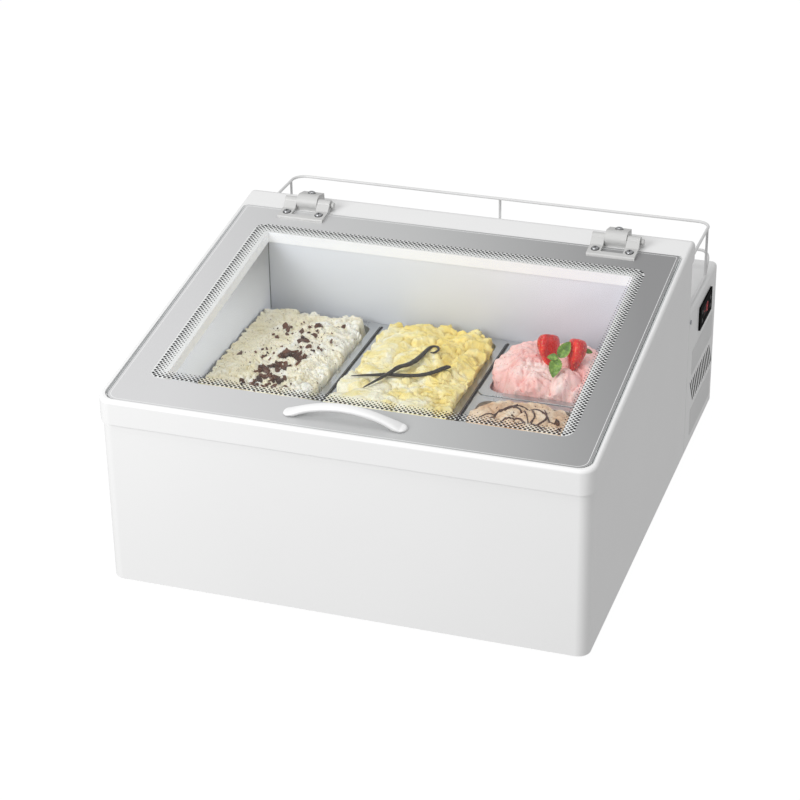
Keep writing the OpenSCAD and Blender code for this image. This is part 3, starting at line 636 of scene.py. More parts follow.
def dots(name, odd, scale, mat):
    """one staggered lattice of dots that shrink away from the border"""
    bm = bmesh.new()
    x0, s0, x1, s1, r = WIN
    half = 2.95
    reach = 17.0
    for j in range(int((s1 - s0) / half) + 1):
        for i in range(int((x1 - x0) / half) + 1):
            if (i + j) % 2 != odd:
                continue
            x, s_ = x0 + i * half + 0.6, s0 + j * half + 0.9
            d = inset(x, s_)
            if d < 0.9 + 2.2 * odd or d > reach:
                continue
            t = (d - 0.9) / (reach - 0.9)
            rad = min(2.08 - 1.3 * t ** 1.1, d + 0.4) * scale
            k = 8 if rad > 0.9 else 6
            ring = [(x + rad * math.cos(q * 2 * math.pi / k), s_ + rad * math.sin(q * 2 * math.pi / k)) for q in range(k)]
            lo = [bm.verts.new(S(a, b, 0.03)) for a, b in ring]
            hi = [bm.verts.new(S(a, b, 0.09)) for a, b in ring]
            bm.faces.new(list(reversed(lo)))
            bm.faces.new(hi)
            for q in range(k):
                bm.faces.new((lo[q], lo[(q + 1) % k], hi[(q + 1) % k], hi[q]))
    me = bpy.data.meshes.new(name)
    bm.to_mesh(me)
    bm.free()
    return obj_from_mesh(name, me, mat, "lid", 20)


unshaded(dots("printed_dots", 0, 1.0, dot_mat))
unshaded(dots("printed_dots_light", 1, 0.55, plain("printed_dots_light", srgb(232, 233, 233), 0.45, var=0.04, vs=60, bs=1500, bd=0.00001)))


def pane_line():
    """the fine polished line just inside the pane's outline"""
    bm = bmesh.new()
    rings = []
    for g, n in ((3.3, 0.095), (3.3, 0.12), (4.0, 0.12), (4.0, 0.095)):
        rings.append([bm.verts.new(S(x, s_, n)) for x, s_ in d_loop(-303.9 + g, 0.6 + g, 303.9 - g, 476.8 - g, 16 - g * 0.8, 4 - g * 0.5)])
    k = len(rings[0])
    for a, b in zip(rings, rings[1:] + rings[:1]):
        for i in range(k):
            bm.faces.new((a[i], a[(i + 1) % k], b[(i + 1) % k], b[i]))
    obj_from_bm("pane_polished_line", bm, plain("polished_line", srgb(236, 237, 237), 0.3, var=0.03, vs=200), "lid", 30)


pane_line()


def rim_seals():
    """grey seal strips on the collar's ledges, along the pane's sides"""
    bm = bmesh.new()
    for m in (-1, 1):
        rows_ = []
        for s_, t in ((15, 0.3), (24, 1), (120, 1), (240, 1), (360, 1), (462, 1), (474, 0.3)):
            rows_.append([bm.verts.new(S(m * x, s_, n)) for x, n in ((304.95, -2.36), (304.95, -2.36 + 1.0 * t), (305.5, -2.36 + 1.5 * t), (306.7, -2.36 + 1.5 * t), (307.12, -2.36 + 1.0 * t), (307.12, -2.36))])
        for a, b in zip(rows_, rows_[1:]):
            for k in range(6):
                bm.faces.new((a[k], a[(k + 1) % 6], b[(k + 1) % 6], b[k]))
        bm.faces.new(rows_[0])
        bm.faces.new(list(reversed(rows_[-1])))
    obj_from_bm("rim_seals", bm, plain("rim_seal", srgb(196, 198, 199), 0.55, var=0.04, vs=120, bs=900, bd=0.00004), "cabinet", 50)


rim_seals()


def ground_edge():
    """the pane's ground edge, matt where the faces are clear"""
    bm = bmesh.new()
    rings = []
    for g, n in ((0.02, -3.7), (0.14, -3.6), (0.14, -0.15), (0.02, -0.05)):
        rings.append([bm.verts.new(S(x, s_, n)) for x, s_ in d_loop(-303.9 - g, 0.6 - g, 303.9 + g, 476.8 + g, 16 + g, 4 + g)])
    k = len(rings[0])
    for a, b in zip(rings, rings[1:] + rings[:1]):
        for i in range(k):
            bm.faces.new((a[i], a[(i + 1) % k], b[(i + 1) % k], b[i]))
    obj_from_bm("pane_ground_edge", bm, plain("ground_glass_edge", srgb(196, 199, 199), 0.6, var=0.04, vs=200), "lid", 40)


ground_edge()


def handle():
    bm = bmesh.new()
    rings = []
    N, K = 120, 28
    xe = 78.0
    for i in range(N + 1):
        x = -xe + 2 * xe * (0.5 - 0.5 * math.cos(math.pi * i / N))
        ax = abs(x)
        outer = 22 - 150.6 + math.sqrt(max(0, 150.6 ** 2 - x * x))
        inner = 15 - 135.6 + math.sqrt(max(0, 135.6 ** 2 - x * x))
        inner = max(inner, 0.02)
        outer = max(outer, 4.4 if ax < 72 else 4.4)
        w = 13.6 + 3.6 * min(1, max(0, (ax - 42) / 22)) ** 2
        if ax > 69.5:
            f = math.sqrt(max(0.0, 1 - ((ax - 69.5) / 8.5) ** 2))
            w *= max(f, 0.03)
            mid = (outer + inner) / 2
            g = max(f ** 0.5, 0.05)
            outer = 0.02 + (outer - 0.02) * g
        t = outer - inner
        zm = (outer + inner) / 2
        ring = []
        for k in range(K):
            a = 2 * math.pi * k / K
            c, s_ = math.cos(a), math.sin(a)
            e = 2 / 2.7
            ring.append(bm.verts.new(S(x, 25 + w / 2 * math.copysign(abs(c) ** e, c), zm + t / 2 * math.copysign(abs(s_) ** e, s_))))
        rings.append(ring)
    for a, b in zip(rings, rings[1:]):
        for k in range(K):
            bm.faces.new((a[k], a[(k + 1) % K], b[(k + 1) % K], b[k]))
    bm.faces.new(list(reversed(rings[0])))
    bm.faces.new(rings[-1])
    o = obj_from_bm("bow_handle", bm, M["white_plastic"], "lid", 60)
    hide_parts("lid_handle")


handle()

# two plain satin fields on the machine compartment's right side, over and under the vents
field_mat = plain("side_field", srgb(216, 216, 216), 0.45, var=0.02, vs=8, bs=500, bd=0.00003)


def side_field(name, y0, z0, y1, z1):
    bm = bmesh.new()
    loop = rr_loop(y0, z0, y1, z1, 4, 6)
    rings = [[bm.verts.new(P(x, y, z)) for y, z in lp] for x, lp in ((310.0, loop), (310.22, loop), (310.3, rr_loop(y0 + .2, z0 + .2, y1 - .2, z1 - .2, 3.8, 6)))]
    k = len(loop)
    for a, b in zip(rings, rings[1:]):
        for q in range(k):
            bm.faces.new((a[q], a[(q + 1) % k], b[(q + 1) % k], b[q]))
    bm.faces.new(rings[-1])
    bm.faces.new(list(reversed(rings[0])))
    obj_from_bm(name, bm, field_mat, "cabinet", 40)


side_field("side_field_upper", 556, 108, 690, 146)
side_field("side_field_lower", 560, 12, 694, 54)

# painted shade: a dark sheet inside each row of vents, where the slots show shade
bm = bmesh.new()
for m in (-1, 1):
    for k in range(27):
        y = 555 + 5 * k
        q = [bm.verts.new(P(m * x, y + dy, z)) for x, dy in ((308.1, 0), (307.5, 2.5)) for z in (57, 106)]
        r = [bm.verts.new(P(m * x, y + dy, z)) for x, dy in ((307.5, 2.5), (308.1, 5)) for z in (57, 106)]
        bm.faces.new((q[0], q[1], q[3], q[2]))
        bm.faces.new((r[0], r[1], r[3], r[2]))
bmesh.ops.solidify(bm, geom=bm.faces[:], thickness=0.0004)
obj_from_bm("vent_shade_sheets", bm, plain("vent_shade_sheet", srgb(30, 30, 31), 0.8, var=0.2, vs=400), "cabinet", 10)

# upright sealed joint in the well's rear left corner
bm = bmesh.new()
tube(bm, [P(-254.0, 427.5, z) for z in (191.5, 230, 260, 289)], [0.00055] * 4, 8)
obj_from_bm("well_corner_seam", bm, plain("seam_sealant", srgb(92, 96, 102), 0.6, var=0.1, vs=200), "cabinet")

# painted shade: dark strips lying in the gaps between the pans' rims, where the gaps fall into shade
GAP_X, GAP_W = 88.9, 1.3
bm = bmesh.new()
for sx_ in (-1, 1):
    gx = sx_ * GAP_X
    prof = [(gx - GAP_W, 189.45), (gx + GAP_W, 189.45), (gx + GAP_W, 190.2), (gx + GAP_W * 0.5, 190.5), (gx - GAP_W * 0.5, 190.5), (gx - GAP_W, 190.2)]
    a = [bm.verts.new(P(x, 109, z)) for x, z in prof]
    b = [bm.verts.new(P(x, 417, z)) for x, z in prof]
    for k in range(6):
        bm.faces.new((a[k], a[(k + 1) % 6], b[(k + 1) % 6], b[k]))
    bm.faces.new(list(reversed(a)))
    bm.faces.new(b)
obj_from_bm("lane_gap_shades", bm, plain("lane_gap_shade", srgb(13, 13, 15), 0.75, var=0.15, vs=120), "cabinet", 30)


# painted shade: dark strips on the pans' rims beside the gaps, widening the gaps' shade
rim_shade_mat = plain("rim_edge_shade", srgb(44, 45, 48), 0.4, metal=0.4, var=0.12, vs=60, bs=900, bd=0.00003)
for name, body, x, m, y0, y1 in (("pan_left_edge", "left_pan", -90.3, -1, 112, 415), ("pan_middle_edge_left", "middle_pan", -87.5, 1, 112, 415),
                                 ("pan_middle_edge_right", "middle_pan", 87.5, -1, 112, 415), ("pan_rear_edge", "right_rear_pan", 90.3, 1, 277.5, 415),
                                 ("pan_front_edge", "right_front_pan", 90.3, 1, 112, 250.5)):
    bm = bmesh.new()
    prof = [(0.05, 190.4), (0.25, 190.72), (1.0, 190.78), (1.45, 190.69), (1.45, 190.4)]
    a = [bm.verts.new(P(x + m * d, y0, z)) for d, z in prof]
    b = [bm.verts.new(P(x + m * d, y1, z)) for d, z in prof]
    for k in range(5):
        bm.faces.new((a[k], a[(k + 1) % 5], b[(k + 1) % 5], b[k]))
    bm.faces.new(list(reversed(a)))
    bm.faces.new(b)
    obj_from_bm(name, bm, rim_shade_mat, body, 30)


# display figures
def digits():
    bm = bmesh.new()
    segs = {"-": "g", "1": "bc", "8": "abcdefg"}
    L, W = 5.3, 1.15
    pos = {"a": (0, 1, 1, 1), "g": (0, 0, 1, 0), "d": (0, -1, 1, -1), "f": (0, 0, 0, 1), "e": (0, -1, 0, 0), "b": (1, 0, 1, 1), "c": (1, -1, 1, 0)}
    for i, ch in enumerate("-18"):
        y0 = 617.4 + i * 9.1
        for s_ in segs[ch]:
            a = pos[s_]
            y_a, z_a, y_b, z_b = y0 + a[0] * L, 177.5 + a[1] * 6.1, y0 + a[2] * L, 177.5 + a[3] * 6.1
            if y_a == y_b:
                q = [(y_a - W / 2, z_a + .45), (y_a, z_a + .1), (y_a + W / 2, z_a + .45), (y_b + W / 2, z_b - .45), (y_b, z_b - .1), (y_b - W / 2, z_b - .45)]
            else:
                q = [(y_a + .45, z_a + W / 2), (y_a + .1, z_a), (y_a + .45, z_a - W / 2), (y_b - .45, z_b - W / 2), (y_b - .1, z_b), (y_b - .45, z_b + W / 2)]
            lo = [bm.verts.new(P(311.9, y, z)) for y, z in q]
            hi = [bm.verts.new(P(312.12, y, z)) for y, z in q]
            bm.faces.new(lo)
            bm.faces.new(hi)
            for k in range(6):
                bm.faces.new((lo[k], lo[(k + 1) % 6], hi[(k + 1) % 6], hi[k]))
    obj_from_bm("display_figures", bm, digit_material(), "cabinet", 20)


digits()

# ---------------------------------------------------------------- ice cream
RIM = 190.7
BVH = {}


def billow(x, y, size, seed):
    """rounded lumps with sharp creases between them, from 0 to 1"""
    return min(1.0, 2.4 * abs(noise.noise(Vector((x / size, y / size, seed))))) ** 0.75


def heap(name, node, open_box, heap_box, power, crest, droop, wall, seed, big, mid, fine, rings, spokes, wob, lean, craggy):
    """Scooped ice cream: rounded lumps with creases between them, filling a pan up to a ragged edge."""
    ox0, oy0, ox1, oy1 = open_box
    hx0, hy0, hx1, hy1 = heap_box
    hcx, hcy, ha, hb = (hx0 + hx1) / 2, (hy0 + hy1) / 2, (hx1 - hx0) / 2, (hy1 - hy0) / 2
    ocx, ocy = (ox0 + ox1) / 2, (oy0 + oy1) / 2
    low = RIM - 15
    r = 16.6

    def edge(a):
        """the opening's rounded outline in direction a"""
        c, s_ = math.cos(a), math.sin(a)
        w, h = (ox1 - ox0) / 2, (oy1 - oy0) / 2
        t = min(w / abs(c) if abs(c) > 1e-9 else 1e9, h / abs(s_) if abs(s_) > 1e-9 else 1e9)
        x, y = t * c, t * s_
        kx, ky = w - r, h - r
        if abs(x) > kx and abs(y) > ky:
            mx, my = math.copysign(kx, c), math.copysign(ky, s_)
            bb = c * mx + s_ * my
            cc = mx * mx + my * my - r * r
            t = bb + math.sqrt(max(0, bb * bb - cc))
            x, y = t * c, t * s_
        return x, y

    def height(x, y):
        u, v = (x - hcx) / ha, (y - hcy) / hb
        w_ = wob / min(ha, hb) * (fbm(x / 21, y / 21, seed, 2) + 0.55 * noise.noise(Vector((x / 6.5, y / 6.5, seed + 1))) + 0.25 * noise.noise(Vector((x / 3, y / 3, seed + 2))))
        d = (abs(u) ** power + abs(v) ** power) ** (1 / power) + w_
        side = min(1, max(0, (1 - d) * min(ha, hb) / wall))
        e = 1 - (1 - side) ** 2.4
        k = min(1, max(0, (d - 0.55) / 0.45))
        k = k * k * (3 - 2 * k)
        wx = x + 7 * noise.noise(Vector((x / 26, y / 26, seed + 5))) + 2.0 * noise.noise(Vector((x / 7, y / 7, seed + 6)))
        wy = y + 7 * noise.noise(Vector((x / 26, y / 26, seed + 9))) + 2.0 * noise.noise(Vector((x / 7, y / 7, seed + 7)))
        g = craggy[0] + craggy[1] * u + craggy[2] * v + craggy[3] * noise.noise(Vector((x / 45, y / 45, seed + 10)))
        g = min(1, max(0.12, g))
        h = crest - droop * k
        h += big[0] * (billow(wx, wy, big[1], seed + 13) - 0.5)
        h += mid[0] * g * (billow(wx, wy * 1.15, mid[1], seed + 14) - 0.5)
        h += fine[0] * (0.25 + 0.75 * g) * (0.5 - billow(wx, wy, fine[1], seed + 15))
        h += 0.35 * fbm(x / 2.0, y / 2.0, seed + 8, 2)
        return low + (h - low) * e, e

    bm = bmesh.new()
    centre = None
    prev = None
    last = []
    for i in range(rings + 1):
        t = (i / rings) ** 0.86
        if i == 0:
            z, e = height(ocx, ocy)
            centre = bm.verts.new(P(ocx, ocy, z))
            continue
        ring = []
        for k in range(spokes):
            ex, ey = edge(2 * math.pi * k / spokes)
            x, y = ocx + t * ex, ocy + t * ey
            z, e = height(x, y)
            # lumps lean out over the pan's rim
            l_ = math.hypot(ex, ey)
            c, s_ = ex / l_, ey / l_
            kx = min(1, max(0, (abs(ex) / (ox1 - ox0) * 2 - 0.80) / 0.14)) * math.copysign(1, ex) * (lean[1] if ex > 0 else lean[0])
            ky = min(1, max(0, (abs(ey) / (oy1 - oy0) * 2 - 0.90) / 0.07)) * math.copysign(1, ey) * (lean[3] if ey > 0 else lean[2])
            out = min(1, max(0, (z - RIM - 2) / 6)) * min(1, max(0, (t - 0.72) / 0.28)) ** 1.5
            push = out * (0.62 + 0.75 * noise.noise(Vector((x / 9, y / 9, seed + 12))))
            jx = 1.3 * noise.noise(Vector((x / 5, y / 5, z / 5 + seed)))
            jy = 1.3 * noise.noise(Vector((x / 5 + 40, y / 5, z / 5 + seed)))
            w = 0.35 + 2.6 * e * (1 - e)
            px, py = max(-251.6, x + kx * push + jx * w), y + ky * push + jy * w
            if i == rings:
                last.append((x, y, px, py, z, c, s_))
            ring.append(bm.verts.new(P(px, py, z)))
        if prev is None:
            for k in range(spokes):
                bm.faces.new((centre, ring[k], ring[(k + 1) % spokes]))
        else:
            for k in range(spokes):
                bm.faces.new((prev[k], ring[k], ring[(k + 1) % spokes], prev[(k + 1) % spokes]))
        prev = ring
    # the ragged side, from the top's edge back to the opening
    for q in range(1, 7):
        f = q / 6
        ring = []
        for x, y, px, py, z, c, s_ in last:
            zz = z + (min(z, RIM + 0.7) - z) * (1 - math.cos(f * math.pi / 2)) ** 0.9
            g = 1 - f ** 2.2
            bulge = 1.6 * math.sin(math.pi * f) * min(1, max(0, (z - RIM) / 8)) * (0.5 + 1.2 * noise.noise(Vector((x / 6, y / 6, zz / 4 + seed))))
            ring.append(bm.verts.new(P(x + (px - x) * g + c * bulge, y + (py - y) * g + s_ * bulge, zz)))
        for k in range(spokes):
            bm.faces.new((prev[k], ring[k], ring[(k + 1) % spokes], prev[(k + 1) % spokes]))
        prev = ring
    down = [bm.verts.new(Vector((v.co.x, v.co.y, P(0, 0, RIM - 40).z))) for v in prev]
    for k in range(spokes):
        bm.faces.new((prev[k], down[k], down[(k + 1) % spokes], prev[(k + 1) % spokes]))
    bm.faces.new(down)
    o = obj_from_bm(name, bm, M[SLOT[node]], BODY[node], 180)
    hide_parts(node)
    BVH[name] = BVHTree.FromPolygons([v.co.copy() for v in o.data.vertices], [tuple(p.vertices) for p in o.data.polygons])
    print(name, "highest", max(v.co.z for v in o.data.vertices) * 1000 - FOOT)
    return o


heap("scooped_left", "ice_cream_left", (-241.5, 112.4, -101.8, 414.5), (-250, 100, -102.5, 412), 7.0, 206.5, 5.0, 4.2, 3.1,
     (4, 34), (4.5, 12), (2.2, 4.6), 110, 480, 6.0, (14.5, 1.5, 4, 3), (0.75, 0.15, 0.05, 0.9))
heap("scooped_middle", "ice_cream_middle", (-76.1, 112.4, 76.1, 414.5), (-76.5, 100, 80, 416), 6.5, 209.5, 5.0, 4.2, 17.7,
     (7, 44), (7.5, 17), (1.8, 6.0), 110, 480, 6.0, (1, 6.5, 4, 4.5), (0.40, 0.42, 0.34, 0.7))
heap("scooped_right_rear", "ice_cream_right_rear", (101.8, 276.9, 241.5, 414.5), (94, 270, 249, 415), 2.5, 218, 16, 12, 29.3,
     (9, 40), (4.5, 15), (0.9, 5.0), 90, 380, 5.0, (8, 4, 3.5, 3), (0.5, -0.3, -0.1, 0.8))
heap("scooped_right_front", "ice_cream_right_front", (101.8, 112.4, 241.5, 251.1), (97, 100, 247, 252), 2.5, 206, 10, 10, 41.9,
     (8, 36), (3, 13), (0.8, 5.0), 84, 340, 4.0, (3, 3, 3, 2), (0.5, 0.1, 0.1, 0.8))


def on(name, x, y):
    """Point and normal on a heap's surface under (x, y), in millimetres and the row frame."""
    p = P(x, y, 400)
    hit, nrm, _, _ = BVH[name].ray_cast(p, Vector((0, 0, -1)))
    if hit is None:
        return P(x, y, RIM), Vector((0, 0, 1))
    return hit, nrm


# chocolate flakes
choc = plain("chocolate", srgb(88, 50, 27), 0.40, var=0.75, vs=70, rv=0.12, bs=900, bd=0.00015, bstr=0.6)


def flake(bm, p, nrm, size, thick, rnd, tilt):
    n = (nrm + Vector((rnd.uniform(-tilt, tilt), rnd.uniform(-tilt, tilt), 0))).normalized()
    a = Vector((rnd.uniform(-1, 1), rnd.uniform(-1, 1), 0))
    u = (a - n * a.dot(n)).normalized()
    v = n.cross(u)
    k = rnd.choice((5, 6, 7))
    asp = rnd.uniform(0.4, 0.85)
    bend = rnd.uniform(-0.25, 0.35)
    top, bot = [], []
    off = rnd.uniform(0, 6.28)
    for i in range(k):
        r = size * rnd.uniform(0.62, 1.0)
        x, y = r * math.cos(off + i * 2 * math.pi / k), r * asp * math.sin(off + i * 2 * math.pi / k)
        z = bend * x * x / size
        q = p + u * x / 1000 + v * y / 1000 + n * (z + thick * 0.35) / 1000
        top.append(bm.verts.new(q + n * thick / 1000))
        bot.append(bm.verts.new(q - u * x * 0.12 / 1000 - v * y * 0.12 / 1000 - n * thick * 0.6 / 1000))
    ct = bm.verts.new(p + n * (thick * 1.55 + rnd.uniform(-.2, .3)) / 1000)
    cb = bm.verts.new(p - n * thick * 0.4 / 1000)
    for i in range(k):
        j = (i + 1) % k
        bm.faces.new((top[i], top[j], ct))
        bm.faces.new((bot[j], bot[i], cb))
        bm.faces.new((bot[i], bot[j], top[j], top[i]))


def flakes():
    rnd = random.Random(5)
    bm = bmesh.new()
    groups = [  # x, y, spread x, spread y, how many, size from, to
        (-161, 262, 20, 14, 26, 4.5, 9.5), (-166, 236, 13, 12, 14, 4, 8), (-184, 219, 16, 8, 14, 4, 9.5), (-163, 196, 22, 13, 30, 3, 7.5),
        (-168, 178, 26, 8, 16, 3, 7), (-197, 343, 7, 6, 3, 5, 8), (-163, 316, 6, 9, 5, 5, 9), (-160, 357, 8, 7, 4, 5, 8.5), (-157, 335, 16, 6, 7, 3, 8),
        (-131.8, 372, 6, 4, 2, 5, 7), (-226, 252, 6, 5, 3, 4, 6), (-128, 321, 3, 4, 2, 3, 4.6), (-197, 318, 14, 12, 6, 2.5, 5.5), (-140, 290, 20, 10, 6, 3, 7),
        (-168, 352, 40, 20, 10, 1.5, 3), (-165, 290, 55, 60, 34, 0.9, 2.0), (-165, 190, 50, 50, 26, 0.9, 2.2), (-195, 262, 20, 30, 9, 2, 4)]
    for gx, gy, sx, sy, n, s0, s1 in groups:
        for _ in range(n):
            x, y = rnd.gauss(gx, sx * 0.5), rnd.gauss(gy, sy * 0.5)
            if not (-238 < x < -106 and 118 < y < 398):
                continue
            p, nr = on("scooped_left", x, y)
            sz = rnd.uniform(s0, s1)
            flake(bm, p, nr, sz, 0.6 + 0.15 * sz, rnd, 0.85 if sz > 3 else 0.3)
    obj_from_bm("chocolate_flakes", bm, choc, "left_pan", 25)


flakes()

# vanilla pods
pod_mat = plain("vanilla_pod", srgb(40, 35, 27), 0.45, var=0.25, vs=120, stretch=(1, 1, 1), bs=500, bd=0.0004, bstr=0.8)


def pod(name, xy, rads, lift, seed):
    pts = []
    for i, (x, y) in enumerate(xy):
        p, _ = on("scooped_middle", x, y)
        pts.append(Vector((p.x, p.y, p.z + lift[i] / 1000)))
    # a stiff pod rests on the lumps' tops
    sm = [p.copy() for p in pts]
    for _ in range(3):
        for i in range(1, len(sm) - 1):
            sm[i].z = max(pts[i].z, (sm[i - 1].z + sm[i].z + sm[i + 1].z) / 3)
    pts = spline(sm, 10)
    n = len(pts)
    rr = []
    for i in range(n):
        f = i / (n - 1) * (len(rads) - 1)
        k = min(int(f), len(rads) - 2)
        r = rads[k] + (rads[k + 1] - rads[k]) * (f - k)
        r *= 1 + 0.10 * noise.noise(Vector((i * 0.3, seed, 0)))
        rr.append(r * 1.15 / 1000)
    bm = bmesh.new()
    tube(bm, pts, rr, 14, 0.72)
    obj_from_bm(name, bm, pod_mat, "middle_pan", 70)


pod("vanilla_pod_long", [(-64, 226), (-50, 228), (-37, 230), (-22, 233), (-8, 238), (8, 243), (22, 248), (36, 257), (44, 264), (50, 271), (53, 276)],
    [0.5, 1.5, 2.1, 2.4, 2.5, 2.4, 2.6, 2.8, 3.0, 3.2, 1.4], [2.2] * 9 + [4.5, 7], 3)
pod("vanilla_pod_hooked", [(-36, 192), (-27, 210), (-16, 232), (-8, 250), (-1, 266), (4, 282), (7, 298), (9, 312), (13, 322), (20, 324), (24, 316), (21, 307), (16, 308)],
    [0.6, 1.6, 2.5, 3.0, 3.2, 3.3, 3.0, 2.4, 1.9, 1.6, 1.5, 1.3, 0.9], [2.2, 2.6, 6.2, 6.6, 4.6, 3.2, 2.8, 2.8, 3.0, 3.2, 3.2, 3.2, 3.2], 8)

# strawberries with mint
berry_mat, nt_, b_, tc_ = new_mat("strawberry_flesh")
nt_.links.new(ramp(nt_, tex(nt_, tc_, 90, 4), [(0.3, srgb(186, 7, 7)), (0.5, srgb(224, 17, 12)), (0.72, srgb(246, 47, 27))]), b_.inputs["Base Color"])
nt_.links.new(remap(nt_, tex(nt_, tc_, 300, 3), 0.18, 0.34), b_.inputs["Roughness"])
b_.inputs["Coat Weight"].default_value = 0.25
b_.inputs["Subsurface Weight"].default_value = 0.06
b_.inputs["Subsurface Radius"].default_value = (0.003, 0.001, 0.001)
bump(nt_, b_, tex(nt_, tc_, 420, 2), 0.5, 0.0005)
seed_mat = plain("strawberry_seeds", srgb(226, 180, 92), 0.4, var=0.15, vs=300)
leaf_mat, nt_, b_, tc_ = new_mat("mint_leaf")
nt_.links.new(ramp(nt_, tex(nt_, tc_, 220, 4), [(0.3, srgb(72, 108, 28)), (0.55, srgb(116, 156, 52)), (0.75, srgb(170, 196, 98))]), b_.inputs["Base Color"])
nt_.links.new(remap(nt_, tex(nt_, tc_, 300, 3), 0.34, 0.52), b_.inputs["Roughness"])
bump(nt_, b_, tex(nt_, tc_, 600, 3), 0.6, 0.0004)


def berry(name, c, axis, side, length, width, flat):
    """Half a strawberry: c its middle, axis from its shoulders to its tip, side its cut face's direction"""
    axis = axis.normalized()
    side = (side - axis * side.dot(axis)).normalized()
    third = axis.cross(side)
    bm = bmesh.new()
    N, K = 30, 40

    def at(t, a):
        r = width / 2 * (math.sin(math.pi * min(1, t ** 0.72 * 1.0)) ** 0.62) * (1.06 - 0.34 * t)
        dimple = -0.10 * length * math.exp(-((t) / 0.12) ** 2)
        ca, sa = math.cos(a), math.sin(a)
        x = r * ca
        if x > 0:
            x *= flat
        y = r * sa
        z = (t - 0.5) * length - dimple * (1 - min(1, r / (width / 2)))
        return c + (side * x + third * y + axis * z) / 1000

    rings = []
    for i in range(1, N):
        rings.append([bm.verts.new(at(i / N, 2 * math.pi * k / K)) for k in range(K)])
    p0, p1 = bm.verts.new(at(0.001, 0)), bm.verts.new(at(0.999, 0))
    for k in range(K):
        bm.faces.new((p0, rings[0][k], rings[0][(k + 1) % K]))
        bm.faces.new((p1, rings[-1][(k + 1) % K], rings[-1][k]))
    for a, b in zip(rings, rings[1:]):
        for k in range(K):
            bm.faces.new((a[k], b[k], b[(k + 1) % K], a[(k + 1) % K]))
    obj_from_bm(name, bm, berry_mat, "right_rear_pan", 60)
    bm = bmesh.new()
    rows = 9
    for i in range(rows):
        t = 0.12 + 0.80 * i / (rows - 1)
        cnt = max(4, int(13 * math.sin(math.pi * t ** 0.8)))
        for k in range(cnt):
            a = 2 * math.pi * (k + 0.5 * (i % 2)) / cnt
            if math.cos(a) > 0.35:
                continue
            p = at(t, a)
            q = at(t + 0.02, a)
            g = at(t, a + 0.1)
            n = (q - p).cross(g - p).normalized()
            if n.dot(p - c) < 0:
                n = -n
            d = (q - p).normalized()
            w = n.cross(d)
            vs = []
            for lat in (-1, 0, 1):
                vs.append([bm.verts.new(p + d * 0.00085 * lat * 0.62 + (w * math.cos(h) * 0.00048 + n * math.sin(h) * 0.00042) * (1.0 if lat == 0 else 0.55)) for h in [m * math.pi / 3 for m in range(6)]])
            for aa, bb in zip(vs, vs[1:]):
                for m in range(6):
                    bm.faces.new((aa[m], aa[(m + 1) % 6], bb[(m + 1) % 6], bb[m]))
            bm.faces.new(list(reversed(vs[0])))
            bm.faces.new(vs[-1])
    obj_from_bm(name + "_seeds", bm, seed_mat, "right_rear_pan", 60)


berry("strawberry_half_left", P(170.5, 327, 235.5), Vector((0.10, -0.50, -0.86)), Vector((0.80, -0.45, 0.1)), 46, 36, 0.35)
berry("strawberry_half_right", P(201.5, 322, 235), Vector((0.02, -0.50, -0.86)), Vector((-0.80, -0.45, 0.1)), 49, 37, 0.35)


def leaf(name, base, tip_dir, up, length, width, curl, body="right_rear_pan"):
    d = tip_dir.normalized()
    n = (up - d * up.dot(d)).normalized()
    w = d.cross(n)
    bm = bmesh.new()
    N, K = 26, 10
    top, bot = [], []
    for i in range(N + 1):
        t = i / N
        half = width / 2 * math.sin(math.pi * t ** 0.8) ** 0.8 * (1 + 0.09 * (1 if i % 3 == 1 else -0.4)) + 0.25
        row_t, row_b = [], []
        for k in range(K + 1):
            v = 2 * k / K - 1
            z = curl * (t * t) * length * -0.35 + abs(v) * half * 0.42 - 0.35 * math.cos(v * 9 + t * 6) * (1 - abs(v)) + 0.30 * math.sin(t * 26 + abs(v) * 5) * (1 - 0.3 * abs(v))
            p = base + (d * t * length + w * v * half + n * z) / 1000
            row_t.append(bm.verts.new(p + n * 0.00028))
            row_b.append(bm.verts.new(p - n * 0.00028))
        top.append(row_t)
        bot.append(row_b)
    for i in range(N):
        for k in range(K):
            bm.faces.new((top[i][k], top[i][k + 1], top[i + 1][k + 1], top[i + 1][k]))
            bm.faces.new((bot[i][k + 1], bot[i][k], bot[i + 1][k], bot[i + 1][k + 1]))
    for i in range(N):
        for k in (0, K):
            bm.faces.new((top[i][k], top[i + 1][k], bot[i + 1][k], bot[i][k]))
    for i in (0, N):
        for k in range(K):
            bm.faces.new((top[i][k], top[i][k + 1], bot[i][k + 1], bot[i][k]))
    obj_from_bm(name, bm, leaf_mat, body, 70)


LB = P(188.5, 303, 238)
leaf("mint_leaf_upper", LB, Vector((0.26, 0.30, 0.42)), Vector((0.2, -0.9, 0.5)), 25, 15, 0.3)
leaf("mint_leaf_lower", LB + Vector((-0.001, -0.001, -0.0005)), Vector((-0.05, -0.62, -0.62)), Vector((0.1, -0.7, 0.7)), 26, 16, 0.25)
leaf("mint_leaf_side", LB + Vector((-0.0005, -0.0015, 0.0)), Vector((-0.9, -0.15, 0.06)), Vector((0.0, -0.7, 0.7)), 14, 9, 0.2)
leaf("mint_leaf_rear", P(214, 330, 238), Vector((0.8, 0.35, -0.15)), Vector((0.1, -0.5, 0.8)), 12, 7, 0.3)

# chocolate ribbons and a chunk on the front right heap
sauce = plain("chocolate_sauce", srgb(74, 36, 26), 0.25, coat=0.4, var=0.3, vs=90, bs=500, bd=0.0002)


